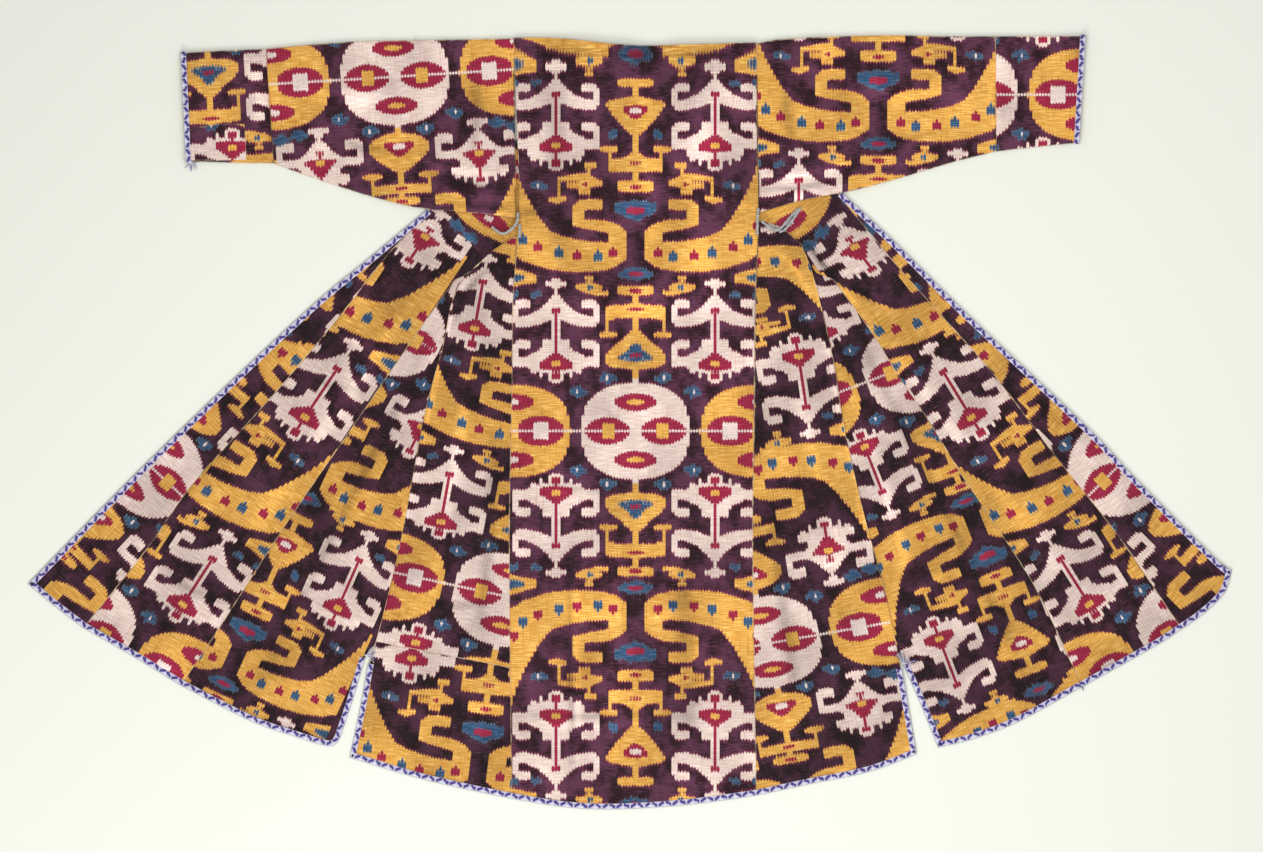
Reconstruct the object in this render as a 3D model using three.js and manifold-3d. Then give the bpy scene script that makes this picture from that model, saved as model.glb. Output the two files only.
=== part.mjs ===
// A munisak: a Central Asian woman's coat of silk-velvet ikat, laid out flat on its fronts.
// The back faces up. Both fronts are swung out to the sides with their outer face up, so they
// lie on the surface, the sleeves lie on the tops of the fronts, and the back lies over both.
//
// Millimetres, +Z up. X runs from cuff to cuff, Y from hem to neck, and the origin is the middle
// of the robe's footprint on the surface it lies on.

import * as THREE from "three";
import Module from "manifold-3d";
import { mergeVertices } from "three/addons/utils/BufferGeometryUtils.js";

const wasm = await Module();
wasm.setup();

// ---------------------------------------------------------------- driving sizes

const CLOTH = 2.4; // velvet with its backing, as one wall
const CLEAR = 0.3; // between one layer and the next
const SEAM = 0.3; // each panel stops this far short of the seam line it shares
const SLEEVE_HOLLOW = 1.2; // between the two layers of a sleeve that lies flat
const BRAID_WIDTH = 8.5; // woven edging sewn over every raw edge
const BRAID_CLOTH = 0.9;
const BRAID_TOP = CLOTH + CLEAR + BRAID_CLOTH;
const EDGE_INSET = BRAID_CLOTH + 2 * CLEAR; // cloth ends this far inside the braid's outer face
const CORD_RADIUS = 1.6; // overcast edge of the underarm vents
const TUCK = 12; // the front side gore goes this far under the back gore
const SEAM_ROWS = 20; // stations that the pieces of a front share along their seams
const SLIT_ROWS = 3; // the last of them, along the open slit
const BACK_ROWS = 26;
const GORE_ROWS = 22;
const HEM_ROWS = 4; // the last of a gore's, on the strip pieced on below the left one
const PIECING_Y = -392; // where that strip's seam meets the back panel
const BACK_COLUMNS = 12; // stations of each piece along its hem, shared with the braid
const GORE_COLUMNS = 9;
const GUSSET_COLUMNS = 5;
const FRONT_COLUMNS = 7;
const SIDE_COLUMNS = 8;
const HIDDEN_ROWS = 8; // stations of the half width that lie under the sleeve and the back
const NECK_STUB = 1 / (HIDDEN_ROWS + SEAM_ROWS); // the half width starts one station in
const TURN_ROWS = 10; // stations of the turned shoulder
const TURN_COLUMNS = 5;
const TURN_CLEAR = 0.03; // share of the armhole left open at each end of it
const FOLD_DROP = 8; // the hidden folds start this far below the shoulder fold
const FOLD_CLEAR = 2; // between a turned layer and the fold itself
const SLEEVE_STATIONS = 12;
const CUFF_STATIONS = 4;

// Height of the underside of what lies on a front, and of the back where it lies on both.
const ON_FRONT = BRAID_TOP + CLEAR;
const ON_SHOULDER = CLOTH + SLEEVE_HOLLOW;
const ON_TUCK = CLOTH + CLEAR;

// Where cloth falls from one level to the next, as a start and an end.
const BELOW_NECK_LINE = [-110, -22]; // past the line from the neck to the underarm
const OFF_THE_FRONT = [430, 520]; // along a sleeve
const ONTO_THE_CUFF = [640, 690]; // along a sleeve
const PAST_THE_FOLD = [-75, -12]; // past the hidden diagonal fold
const BELOW_SHOULDER = [150, 275]; // up the back
const OFF_THE_TUCK = [26, 70]; // in from a back gore's edge
const ABOVE_THE_SLIT = [-470, -392]; // up a back gore's edge
const GORE_TOP = [150, 205]; // up a back gore
const TUCK_FADES = [0.25, 0.93]; // the tuck is full between these shares of the side seam

const VELVET_DARK = 0x3a2030;
const VELVET_YELLOW = 0xe0a93c;
const BRAID_LILAC = 0xa49fce;
const CORD_GREY = 0xb9c4b8;
const TUFT_PURPLE = 0x6c5cab;

// ---------------------------------------------------------------- seam and edge lines
// Every line is a table of stations with the columns x and y, from the neck end to the hem end,
// or from the sleeve seam to the cuff.

const line = (...rows) => new THREE.SplineCurve(rows.map(([x, y]) => new THREE.Vector2(x, y)));

// The central loom width: 387 mm of velvet, selvage to selvage, from the shoulder fold to the hem.
const SHOULDER = line([-186, 615], [-112, 614], [-48, 607], [16, 602], [112, 604], [202, 607]);
const BACK_SEAM_LEFT = line(
  [-186, 615], [-181, 484], [-177, 338], [-187, 196], [-189, 36], [-193, -204], [-189, -601],
);
const BACK_SEAM_RIGHT = line(
  [202, 607], [203, 430], [205, 340], [200, 196], [198, -12], [196, -196], [202, -596],
);
const BACK_HEM = line([-189, -601], [-108, -614], [-26, -618], [90, -611], [202, -596]);

// The neck: the fronts leave the shoulder fold here, and their edges run straight to the hem.
const NECK_LEFT = [-11, 598];
const NECK_RIGHT = [88, 598];
const FOLD_FOOT_LEFT = [-147, 292]; // foot of the hidden diagonal fold below each shoulder
const FOLD_FOOT_RIGHT = [176, 292];

const LEFT = {
  side: -1,
  neck: NECK_LEFT,
  foldFoot: FOLD_FOOT_LEFT,
  foldTop: 0.46, // share of the shoulder fold at which the hidden fold starts
  backSeam: BACK_SEAM_LEFT,
  underSleeve: [-323, 342], // where the front edge comes out from under the sleeve
  frontEdge: line([-290, 369], [-413, 266], [-528, 169], [-768, -60], [-962, -258]),
  gussetSeam: line(
    [-290, 369], [-390, 266], [-461, 174], [-578, 36], [-701, -100], [-770, -199], [-874, -328],
  ),
  gussetHem: line([-962, -258], [-920, -293], [-874, -328]),
  frontSeam: line(
    [-280, 228], [-336, 150], [-387, 76], [-454, -22], [-550, -162], [-656, -327], [-718, -420],
  ),
  frontHem: line([-874, -328], [-792, -375], [-718, -420]),
  sideSeam: line(
    [-262, 216], [-294, 150], [-303, 105], [-323, 42], [-339, -34], [-365, -175], [-394, -300],
    [-424, -377],
  ),
  slitFront: line([-424, -377], [-444, -444], [-464, -504]),
  sideHem: line([-718, -420], [-608, -476], [-534, -502], [-480, -517], [-464, -504]),
  slitBack: line([-418, -385], [-432, -460], [-448, -535]),
  gore: line(
    [-226, 271], [-280, 212], [-299, 127], [-323, 42], [-339, -34], [-365, -175], [-394, -300],
    [-418, -385],
  ),
  goreTop: line([-226, 271], [-203, 286], [-179, 300]),
  goreHem: line([-448, -535], [-354, -564], [-280, -582], [-189, -601]),
  sleeveTop: line([-186, 615], [-357, 612], [-458, 609], [-582, 598]),
  sleeveUnder: line([-182, 326], [-261, 335], [-339, 342], [-426, 364], [-522, 396], [-570, 414]),
  cuffTop: line([-582, 598], [-650, 595], [-718, 591]),
  cuffUnder: line([-570, 414], [-640, 415], [-710, 417]),
};

const RIGHT = {
  side: 1,
  neck: NECK_RIGHT,
  foldFoot: FOLD_FOOT_RIGHT,
  foldTop: 0.74,
  backSeam: BACK_SEAM_RIGHT,
  underSleeve: [336, 370],
  frontEdge: line([306, 398], [418, 294], [541, 172], [731, -7], [811, -92], [936, -217], [962, -236]),
  gussetSeam: line(
    [306, 398], [422, 257], [512, 156], [581, 78], [683, -57], [778, -177], [882, -330],
  ),
  gussetHem: line([962, -236], [950, -273], [914, -308], [882, -330]),
  frontSeam: line(
    [326, 228], [390, 140], [430, 73], [467, 20], [536, -92], [610, -202], [658, -282], [723, -422],
  ),
  frontHem: line([882, -330], [842, -356], [731, -418], [723, -422]),
  sideSeam: line(
    [301, 222], [307, 190], [317, 143], [330, 82], [344, -10], [376, -150], [411, -278], [438, -388],
  ),
  slitFront: line([438, -388], [465, -450], [493, -519]),
  sideHem: line([723, -422], [621, -478], [547, -506], [493, -519]),
  slitBack: line([434, -393], [446, -460], [458, -530]),
  gore: line(
    [246, 311], [274, 287], [290, 250], [317, 143], [330, 82], [344, -10], [376, -150], [411, -278],
    [434, -393],
  ),
  goreTop: line([246, 311], [226, 318], [206, 322]),
  goreHem: line([458, -530], [382, -558], [286, -578], [202, -596]),
  sleeveTop: line([202, 607], [253, 615], [406, 620], [514, 618], [584, 618]),
  sleeveUnder: line([206, 334], [275, 354], [357, 370], [442, 393], [514, 415], [586, 433]),
  cuffTop: line([584, 618], [660, 618], [728, 618]),
  cuffUnder: line([586, 433], [650, 440], [718, 447]),
};

// Overcast edges of the open underarms, with the columns x, y and z.
const VENT_CORDS = [
  {
    name: "vent_cord_left",
    rows: [[-179, 335, 11.9], [-180, 322, 11.9], [-188, 310, 10], [-204, 302, 6], [-221, 313, 4.5]],
  },
  { name: "vent_edge_left", rows: [[-176, 317, 11.9], [-176, 306, 11.9], [-177, 295, 11.9]] },
  {
    name: "vent_cord_right",
    rows: [[210, 322, 11.5], [222, 313, 9.4], [237, 308, 7.4], [256, 328, 6.4], [268, 341, 5.4]],
  },
  { name: "vent_edge_right", rows: [[205, 342, 11.9], [204, 330, 11.9], [203, 300, 11.9]] },
];

// Thread ends that hang from the braid: headings in degrees, the rest in millimetres.
const TUFTS = [
  {
    name: "tuft_cuff_left", knot: [-705, 412.6], size: 3.4, strands: 9, reach: 14,
    heading: -80, spread: 95, height: 3.2, tip: 0.9,
  },
  {
    name: "tuft_slit_left", knot: [-421, -372], size: 4, strands: 11, reach: 17,
    heading: 15, spread: 120, height: 7.3, tip: 5.9,
  },
  {
    name: "tuft_slit_right", knot: [438, -385], size: 4, strands: 14, reach: 21,
    heading: 62, spread: 150, height: 7.3, tip: 5.9,
  },
];

// ---------------------------------------------------------------- soft falls between layers

const { smoothstep, lerp, clamp } = THREE.MathUtils;

/** Distance of a point from the line a-b, positive on the side away from the middle of the back. */
function outside(x, y, a, b, side) {
  const along = new THREE.Vector2(b[0] - a[0], b[1] - a[1]).normalize();
  return ((x - a[0]) * along.y - (y - a[1]) * along.x) * -side;
}

/** How far what lies on a front is lifted: full below the front's edge, none well above it. */
function liftOnFront(x, y, part) {
  const below = outside(x, y, part.neck, part.underSleeve, -part.side);
  return ON_FRONT * smoothstep(below, ...BELOW_NECK_LINE);
}

/** The same, for cloth that leaves the front again further out along the sleeve. */
function liftOfSleeve(x, y, part) {
  const cuffRise = smoothstep(Math.abs(x), ...ONTO_THE_CUFF) * (BRAID_CLOTH + CLEAR);
  return liftOnFront(x, y, part) * (1 - smoothstep(Math.abs(x), ...OFF_THE_FRONT)) + cuffRise;
}

/** The back lies on both layers at each shoulder and sinks to the surface between and below. */
function liftOfBack(x, y) {
  const over = (part) => {
    const off = outside(x, y, part.neck, part.foldFoot, part.side);
    const across = smoothstep(off, ...PAST_THE_FOLD);
    const down = smoothstep(y, ...BELOW_SHOULDER);
    return (liftOnFront(x, y, part) + ON_SHOULDER) * across * down;
  };
  return Math.max(over(LEFT), over(RIGHT));
}

/** A back gore lies on the tucked edge of the front side gore, and on the front at its top. */
function liftOfGore(x, y, part) {
  const seamX = part.gore.getPoint(nearestStation(part.gore, y)).x;
  const inward = (seamX - x) * part.side;
  const atSide = (1 - smoothstep(inward, ...OFF_THE_TUCK)) * smoothstep(y, ...ABOVE_THE_SLIT);
  const atTop = smoothstep(y, ...GORE_TOP);
  return ON_TUCK * Math.max(atSide, atTop);
}

/** Station of a line at which it has reached the height y. */
function nearestStation(curve, y) {
  let low = 0;
  let high = 1;
  for (let i = 0; i < 20; i++) {
    const middle = (low + high) / 2;
    if (curve.getPoint(middle).y > y) low = middle;
    else high = middle;
  }
  return (low + high) / 2;
}

// ---------------------------------------------------------------- making solids

const pointOn = (curve, s) => curve.getPointAt(clamp(s, 0, 1));

/** A closed mesh from vertices and quads, with its faces turned out. */
function closedMesh(points, quads) {
  const triangles = [];
  for (const [a, b, c, d] of quads) {
    triangles.push(a, b, c);
    if (d !== undefined) triangles.push(a, c, d);
  }
  let volume = 0;
  const cross = new THREE.Vector3();
  for (let i = 0; i < triangles.length; i += 3) {
    const [a, b, c] = triangles.slice(i, i + 3).map((k) => points[k]);
    volume += a.dot(cross.crossVectors(b, c));
  }
  if (volume < 0) {
    for (let i = 0; i < triangles.length; i += 3) {
      [triangles[i + 1], triangles[i + 2]] = [triangles[i + 2], triangles[i + 1]];
    }
  }
  const geometry = new THREE.BufferGeometry().setFromPoints(points);
  geometry.setIndex(triangles);
  geometry.computeVertexNormals();
  return geometry;
}

/** Points of a patch between four lines that meet at its corners (u across, v down). */
function patch({ left, right, top, bottom }, across, down) {
  const corner = [left(0), right(0), left(1), right(1)];
  const grid = [];
  for (let j = 0; j <= down; j++) {
    const row = [];
    for (let i = 0; i <= across; i++) {
      const u = i / across;
      const v = j / down;
      const mix = (axis) =>
        lerp(left(v)[axis], right(v)[axis], u) +
        lerp(top(u)[axis], bottom(u)[axis], v) -
        lerp(lerp(corner[0][axis], corner[1][axis], u), lerp(corner[2][axis], corner[3][axis], u), v);
      row.push(new THREE.Vector2(mix("x"), mix("y")));
    }
    grid.push(row);
  }
  return grid;
}

/** Moves the rim of a patch inward, by its own amount on each side. */
function trim(grid, inset) {
  const down = grid.length - 1;
  const across = grid[0].length - 1;
  const toward = (a, b) => b.clone().sub(a).normalize();
  return grid.map((row, j) =>
    row.map((p, i) => {
      const side = i === 0 ? inset.left : i === across ? inset.right : null;
      const end = j === 0 ? inset.top : j === down ? inset.bottom : null;
      if (side === null && end === null) return p;
      const inwards = row[i === 0 ? 1 : i === across ? across - 1 : i];
      const endwards = grid[j === 0 ? 1 : j === down ? down - 1 : j][i];
      if (side !== null && end !== null) {
        // At a corner the point keeps its distance from both sides.
        const u = toward(p, inwards);
        const v = toward(p, endwards);
        const sine = Math.abs(u.cross(v));
        return p.clone().addScaledVector(u, side / sine).addScaledVector(v, end / sine);
      }
      const [a, b] =
        side !== null ? [grid[j - 1][i], grid[j + 1][i]] : [row[i - 1], row[i + 1]];
      const tangent = toward(a, b);
      const normal = new THREE.Vector2(-tangent.y, tangent.x);
      const inner = side !== null ? inwards : endwards;
      if (normal.dot(toward(p, inner)) < 0) normal.negate();
      return p.clone().addScaledVector(normal, side ?? end);
    }),
  );
}

/** A wall of cloth over a patch: underside at the lift, top one cloth above it. */
function clothPanel(grid, lift) {
  const down = grid.length - 1;
  const across = grid[0].length - 1;
  const points = [];
  for (const layer of [0, CLOTH]) {
    for (const row of grid) {
      for (const p of row) points.push(new THREE.Vector3(p.x, p.y, lift(p.x, p.y) + layer));
    }
  }
  const under = (i, j) => j * (across + 1) + i;
  const over = (i, j) => under(i, j) + (across + 1) * (down + 1);
  const quads = [];
  for (let j = 0; j < down; j++) {
    for (let i = 0; i < across; i++) {
      quads.push([over(i, j), over(i, j + 1), over(i + 1, j + 1), over(i + 1, j)]);
      quads.push([under(i, j), under(i + 1, j), under(i + 1, j + 1), under(i, j + 1)]);
    }
  }
  const rim = [];
  for (let i = 0; i < across; i++) rim.push([i, 0]);
  for (let j = 0; j < down; j++) rim.push([across, j]);
  for (let i = across; i > 0; i--) rim.push([i, down]);
  for (let j = down; j > 0; j--) rim.push([0, j]);
  rim.forEach(([i, j], k) => {
    const [m, n] = rim[(k + 1) % rim.length];
    quads.push([over(i, j), over(m, n), under(m, n), under(i, j)]);
  });
  return closedMesh(points, quads);
}

/**
 * A sleeve or cuff lying flat: a tube whose rings run round both layers and their soft folds.
 * A positive margin draws the ring in from the two folds, and a negative one lets it out.
 */
function flatTube({ top, under, begin = 0, end = 1, pull, stations, lift, height, wall, margin = 0 }) {
  const RING = 20;
  const SQUARENESS = 0.36; // how quickly a ring reaches its full height from a fold
  const rings = [];
  for (let s = 0; s <= stations; s++) {
    const station = lerp(begin, end, s / stations);
    const travel = top.getPointAt(1).sub(top.getPointAt(0)).normalize();
    const shift = s === 0 ? pull[0] : s === stations ? pull[1] : 0;
    const a = pointOn(top, station).addScaledVector(travel, shift);
    const b = pointOn(under, station).addScaledVector(travel, shift);
    const width = a.distanceTo(b);
    const ring = (inset, rise) => {
      const points = [];
      for (let k = 0; k < RING; k++) {
        const angle = (2 * Math.PI * (k + 0.5)) / RING;
        const reach = 0.5 - (0.5 - inset / width) * Math.cos(angle);
        const p = a.clone().lerp(b, reach);
        const bow = Math.sign(Math.sin(angle)) * Math.abs(Math.sin(angle)) ** SQUARENESS;
        points.push(new THREE.Vector3(p.x, p.y, lift(p.x, p.y) + (height + rise * bow) / 2));
      }
      return points;
    };
    rings.push({ outer: ring(margin, height), inner: ring(margin + wall, height - 2 * wall) });
  }
  const points = rings.flatMap((r) => [...r.outer, ...r.inner]);
  const at = (s, k, inner) => s * 2 * RING + (inner ? RING : 0) + (k % RING);
  const quads = [];
  for (let k = 0; k < RING; k++) {
    for (let s = 0; s < stations; s++) {
      quads.push([at(s, k), at(s, k + 1), at(s + 1, k + 1), at(s + 1, k)]);
      quads.push([at(s, k, true), at(s + 1, k, true), at(s + 1, k + 1, true), at(s, k + 1, true)]);
    }
    quads.push([at(0, k), at(0, k, true), at(0, k + 1, true), at(0, k + 1)]);
    quads.push([
      at(stations, k), at(stations, k + 1), at(stations, k + 1, true), at(stations, k, true),
    ]);
  }
  return closedMesh(points, quads);
}

/** Woven edging bent over a raw edge: an angle section, swept along points of the edge. */
function braidRun(path, inward, lift) {
  const SHARPEST = 0.35; // keeps the mitre short at a sharp corner
  const section = [
    [0, 0],
    [BRAID_CLOTH, 0],
    [BRAID_CLOTH, CLOTH + CLEAR],
    [BRAID_WIDTH, CLOTH + CLEAR],
    [BRAID_WIDTH, BRAID_TOP],
    [0, BRAID_TOP],
  ];
  const points = [];
  path.forEach((p, k) => {
    const before = path[Math.max(k - 1, 0)];
    const after = path[Math.min(k + 1, path.length - 1)];
    const normals = [
      [before, p],
      [p, after],
    ]
      .filter(([a, b]) => a.distanceTo(b) > 0)
      .map(([a, b]) => {
        const t = b.clone().sub(a).normalize();
        return new THREE.Vector2(-t.y, t.x).multiplyScalar(inward);
      });
    const mean = normals.reduce((sum, n) => sum.add(n), new THREE.Vector2()).normalize();
    const mitre = 1 / Math.max(mean.dot(normals[normals.length - 1]), SHARPEST);
    for (const [offset, z] of section) {
      const q = p.clone().addScaledVector(mean, offset * mitre);
      points.push(new THREE.Vector3(q.x, q.y, z + lift(p.x, p.y)));
    }
  });
  const n = section.length;
  const quads = [];
  for (let s = 0; s < path.length - 1; s++) {
    for (let k = 0; k < n; k++) {
      const m = (k + 1) % n;
      quads.push([s * n + k, s * n + m, (s + 1) * n + m, (s + 1) * n + k]);
    }
  }
  const last = (path.length - 1) * n;
  const caps = [[0, 1, 2, 5], [2, 3, 4, 5]];
  for (const cap of caps) {
    quads.push([...cap].reverse());
    quads.push(cap.map((k) => last + k));
  }
  return closedMesh(points, quads);
}

/** Points of several lines end to end, each cut into its steps, with a shared end given once. */
function follow(lines) {
  const points = [];
  for (const { curve, from = 0, to = 1, steps } of lines) {
    for (let k = points.length ? 1 : 0; k <= steps; k++) {
      points.push(pointOn(curve, lerp(from, to, k / steps)));
    }
  }
  return points;
}

/** A round cord sewn along an edge. */
function cordAlong(rows) {
  const SIDES = 6;
  const path = new THREE.CatmullRomCurve3(rows.map((p) => new THREE.Vector3(...p)));
  const section = new THREE.Shape(
    new THREE.Path().absarc(0, 0, CORD_RADIUS, 0, 2 * Math.PI).getSpacedPoints(SIDES),
  );
  const tube = new THREE.ExtrudeGeometry(section, {
    extrudePath: path,
    steps: 3 * rows.length,
    curveSegments: SIDES,
    bevelEnabled: false,
  });
  tube.deleteAttribute("normal");
  tube.deleteAttribute("uv");
  return mergeVertices(tube, 1e-3);
}

function toSolid(geometry) {
  return new wasm.Manifold(
    new wasm.Mesh({
      numProp: 3,
      vertProperties: new Float32Array(geometry.attributes.position.array),
      triVerts: new Uint32Array(geometry.index.array),
    }),
  );
}

function fromSolid(solid) {
  const { vertProperties, triVerts } = solid.getMesh();
  const geometry = new THREE.BufferGeometry();
  geometry.setAttribute("position", new THREE.BufferAttribute(vertProperties, 3));
  geometry.setIndex(new THREE.BufferAttribute(triVerts, 1));
  geometry.computeVertexNormals();
  return geometry;
}

/** A knot of thread ends: tapered three-sided strands that spring from one flat knot. */
function tuft({ knot, size, strands, reach, heading, spread, height, tip }) {
  const middle = new THREE.IcosahedronGeometry(1, 1).toNonIndexed();
  middle.deleteAttribute("normal");
  middle.deleteAttribute("uv");
  middle.scale(size, size, size * 0.5).translate(knot[0], knot[1], height);
  let solid = toSolid(mergeVertices(middle, 1e-3));
  for (let k = 0; k < strands; k++) {
    const turn = heading + spread * (k / (strands - 1) - 0.5);
    const long = reach * (0.72 + 0.28 * Math.cos(k * 2.4));
    const out = new THREE.Vector2(Math.cos(turn), Math.sin(turn));
    const rows = [
      { along: 0, radius: 0.8, z: height },
      { along: 0.5, radius: 0.7, z: height + 1.0 },
      { along: 1, radius: 0.45, z: tip },
    ];
    const points = rows.flatMap(({ along, radius, z }) =>
      [0, 1, 2].map((c) => {
        const around = (2 * Math.PI * c) / 3;
        const bend = long * 0.12 * Math.sin(along * 3) * Math.cos(k * 1.7);
        return new THREE.Vector3(
          knot[0] + out.x * long * along - out.y * (bend + radius * Math.cos(around)),
          knot[1] + out.y * long * along + out.x * (bend + radius * Math.cos(around)),
          z + radius * Math.sin(around),
        );
      }),
    );
    const quads = [[2, 1, 0]];
    for (let s = 0; s < rows.length - 1; s++) {
      for (let c = 0; c < 3; c++) {
        const d = (c + 1) % 3;
        quads.push([s * 3 + c, s * 3 + d, s * 3 + 3 + d, s * 3 + 3 + c]);
      }
    }
    const end = (rows.length - 1) * 3;
    quads.push([end, end + 1, end + 2]);
    solid = solid.add(toSolid(closedMesh(points, quads)));
  }
  return fromSolid(solid);
}

// ---------------------------------------------------------------- the robe

const robe = new THREE.Group();

function add(name, geometry, color, roughness = 0.85) {
  const material = new THREE.MeshStandardMaterial({ color, roughness, metalness: 0 });
  const mesh = new THREE.Mesh(geometry, material);
  mesh.name = name;
  robe.add(mesh);
}

const whole = (curve) => (s) => pointOn(curve, s);
const stretch = (curve, from, to) => (s) => pointOn(curve, lerp(from, to, s));
const straight = (a, b) => (s) => ({ x: lerp(a.x, b.x, s), y: lerp(a.y, b.y, s) });
const point = ([x, y]) => new THREE.Vector2(x, y);
const flat = () => 0;

/** One cut piece: a patch between four lines, trimmed on each side and laid at its lift. */
function addPanel(name, lines, [across, down], inset, lift, color = VELVET_DARK) {
  add(name, clothPanel(trim(patch(lines, across, down), inset), lift), color);
}

function addBack() {
  addPanel(
    "back_panel",
    {
      left: whole(BACK_SEAM_LEFT),
      right: whole(BACK_SEAM_RIGHT),
      top: whole(SHOULDER),
      bottom: whole(BACK_HEM),
    },
    [BACK_COLUMNS, BACK_ROWS],
    { left: SEAM, right: SEAM, top: 0, bottom: EDGE_INSET },
    liftOfBack,
    VELVET_YELLOW,
  );
}

/** The back's own cloth past the shoulder fold, turned under as far as the hidden diagonal fold. */
function addShoulderTurn(word, part) {
  const armhole = nearestStation(part.backSeam, part.sleeveUnder.getPoint(0).y);
  const armholePoint = (s) => part.backSeam.getPoint(armhole * s);
  const foldTop = SHOULDER.getPointAt(part.foldTop).sub(point([0, FOLD_DROP]));
  const first = TURN_CLEAR;
  const last = 1 - TURN_CLEAR;
  addPanel(
    "shoulder_turn_" + word,
    {
      left: (s) => armholePoint(lerp(first, last, s)),
      right: straight(foldTop, point(part.foldFoot)),
      top: straight(armholePoint(first), foldTop),
      bottom: straight(armholePoint(last), point(part.foldFoot)),
    },
    [TURN_COLUMNS, TURN_ROWS],
    { left: SEAM, right: FOLD_CLEAR, top: FOLD_CLEAR, bottom: SEAM },
    (x, y) => liftOnFront(x, y, part),
  );
}

/** Back gore, from the underarm vent to the hem; the left one has a strip pieced on at its foot. */
function addBackGore(word, part) {
  const start = nearestStation(part.backSeam, part.goreTop.getPoint(1).y);
  const slitFrom = 1 - SLIT_ROWS / GORE_ROWS;
  const sideLine = (s) =>
    s < slitFrom
      ? pointOn(part.gore, s / slitFrom)
      : pointOn(part.slitBack, (s - slitFrom) / (1 - slitFrom));
  const innerLine = (s) => part.backSeam.getPoint(lerp(start, 1, s));
  const lift = (x, y) => liftOfGore(x, y, part);
  const pieced = 1 - HEM_ROWS / GORE_ROWS;
  const piecedInner = (nearestStation(part.backSeam, PIECING_Y) - start) / (1 - start);
  const name = "back_gore_" + word;
  const pieces =
    part === LEFT
      ? [
          { name, from: 0, to: pieced, innerTo: piecedInner, rows: GORE_ROWS - HEM_ROWS },
          { name: name + "_hem", from: pieced, to: 1, innerFrom: piecedInner, rows: HEM_ROWS },
        ]
      : [{ name, from: 0, to: 1, rows: GORE_ROWS }];
  for (const { name, from, to, innerFrom = from, innerTo = to, rows } of pieces) {
    const left = (s) => sideLine(lerp(from, to, s));
    const right = (s) => innerLine(lerp(innerFrom, innerTo, s));
    addPanel(
      name,
      {
        left,
        right,
        top: from === 0 ? whole(part.goreTop) : straight(left(0), right(0)),
        bottom: to === 1 ? whole(part.goreHem) : straight(left(1), right(1)),
      },
      [GORE_COLUMNS, rows],
      { left: EDGE_INSET, right: SEAM, top: SEAM, bottom: to === 1 ? EDGE_INSET : SEAM },
      lift,
    );
  }
}

/** The narrow gore along the open front edge. */
function addFrontEdgeGore(word, part) {
  const start = 1 / SEAM_ROWS;
  addPanel(
    "front_edge_gore_" + word,
    {
      left: stretch(part.frontEdge, start, 1),
      right: stretch(part.gussetSeam, start, 1),
      top: straight(pointOn(part.frontEdge, start), pointOn(part.gussetSeam, start)),
      bottom: whole(part.gussetHem),
    },
    [GUSSET_COLUMNS, SEAM_ROWS - 1],
    { left: EDGE_INSET, right: SEAM, top: SEAM, bottom: EDGE_INSET },
    flat,
  );
}

/** Half a loom width, which goes on under the sleeve and the back, up to the neck. */
function addFrontPanel(word, part) {
  const neckEnd = point(part.neck).add(point([part.side * 3, -18]));
  const foldEnd = point(part.foldFoot).add(point([part.side * 12, -18]));
  const hidden = HIDDEN_ROWS / (HIDDEN_ROWS + SEAM_ROWS);
  const folded = 0.75 * hidden; // the hidden stretch beside the diagonal fold
  const shown = (s) => (s - hidden) / (1 - hidden);
  const outer = (s) =>
    s < hidden
      ? straight(neckEnd, pointOn(part.gussetSeam, 0))(s / hidden)
      : pointOn(part.gussetSeam, shown(s));
  const inner = (s) => {
    if (s < folded) return straight(neckEnd, foldEnd)(s / folded);
    if (s < hidden) {
      return straight(foldEnd, pointOn(part.frontSeam, 0))((s - folded) / (hidden - folded));
    }
    return pointOn(part.frontSeam, shown(s));
  };
  addPanel(
    "front_panel_" + word,
    {
      left: (s) => outer(lerp(NECK_STUB, 1, s)),
      right: (s) => inner(lerp(NECK_STUB, 1, s)),
      top: straight(outer(NECK_STUB), inner(NECK_STUB)),
      bottom: whole(part.frontHem),
    },
    [FRONT_COLUMNS, HIDDEN_ROWS + SEAM_ROWS - 1],
    { left: SEAM, right: SEAM, top: 0, bottom: EDGE_INSET },
    flat,
  );
}

/** The gore beside the front panel: its back edge is tucked under the back gore to the slit. */
function addFrontSideGore(word, part) {
  const slitFrom = 1 - SLIT_ROWS / SEAM_ROWS;
  const [full, last] = TUCK_FADES;
  const tucked = (s) => {
    const p = pointOn(part.sideSeam, s);
    const tuck = TUCK * smoothstep(s, 0, full) * (1 - smoothstep(s, last, 1));
    return new THREE.Vector2(p.x - part.side * tuck, p.y);
  };
  const edge = (s) =>
    s < slitFrom
      ? tucked(s / slitFrom)
      : pointOn(part.slitFront, (s - slitFrom) / (1 - slitFrom));
  addPanel(
    "front_side_gore_" + word,
    {
      left: whole(part.frontSeam),
      right: edge,
      top: straight(part.frontSeam.getPointAt(0), edge(0)),
      bottom: whole(part.sideHem),
    },
    [SIDE_COLUMNS, SEAM_ROWS],
    { left: SEAM, right: EDGE_INSET, top: SEAM, bottom: EDGE_INSET },
    flat,
  );
}

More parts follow.
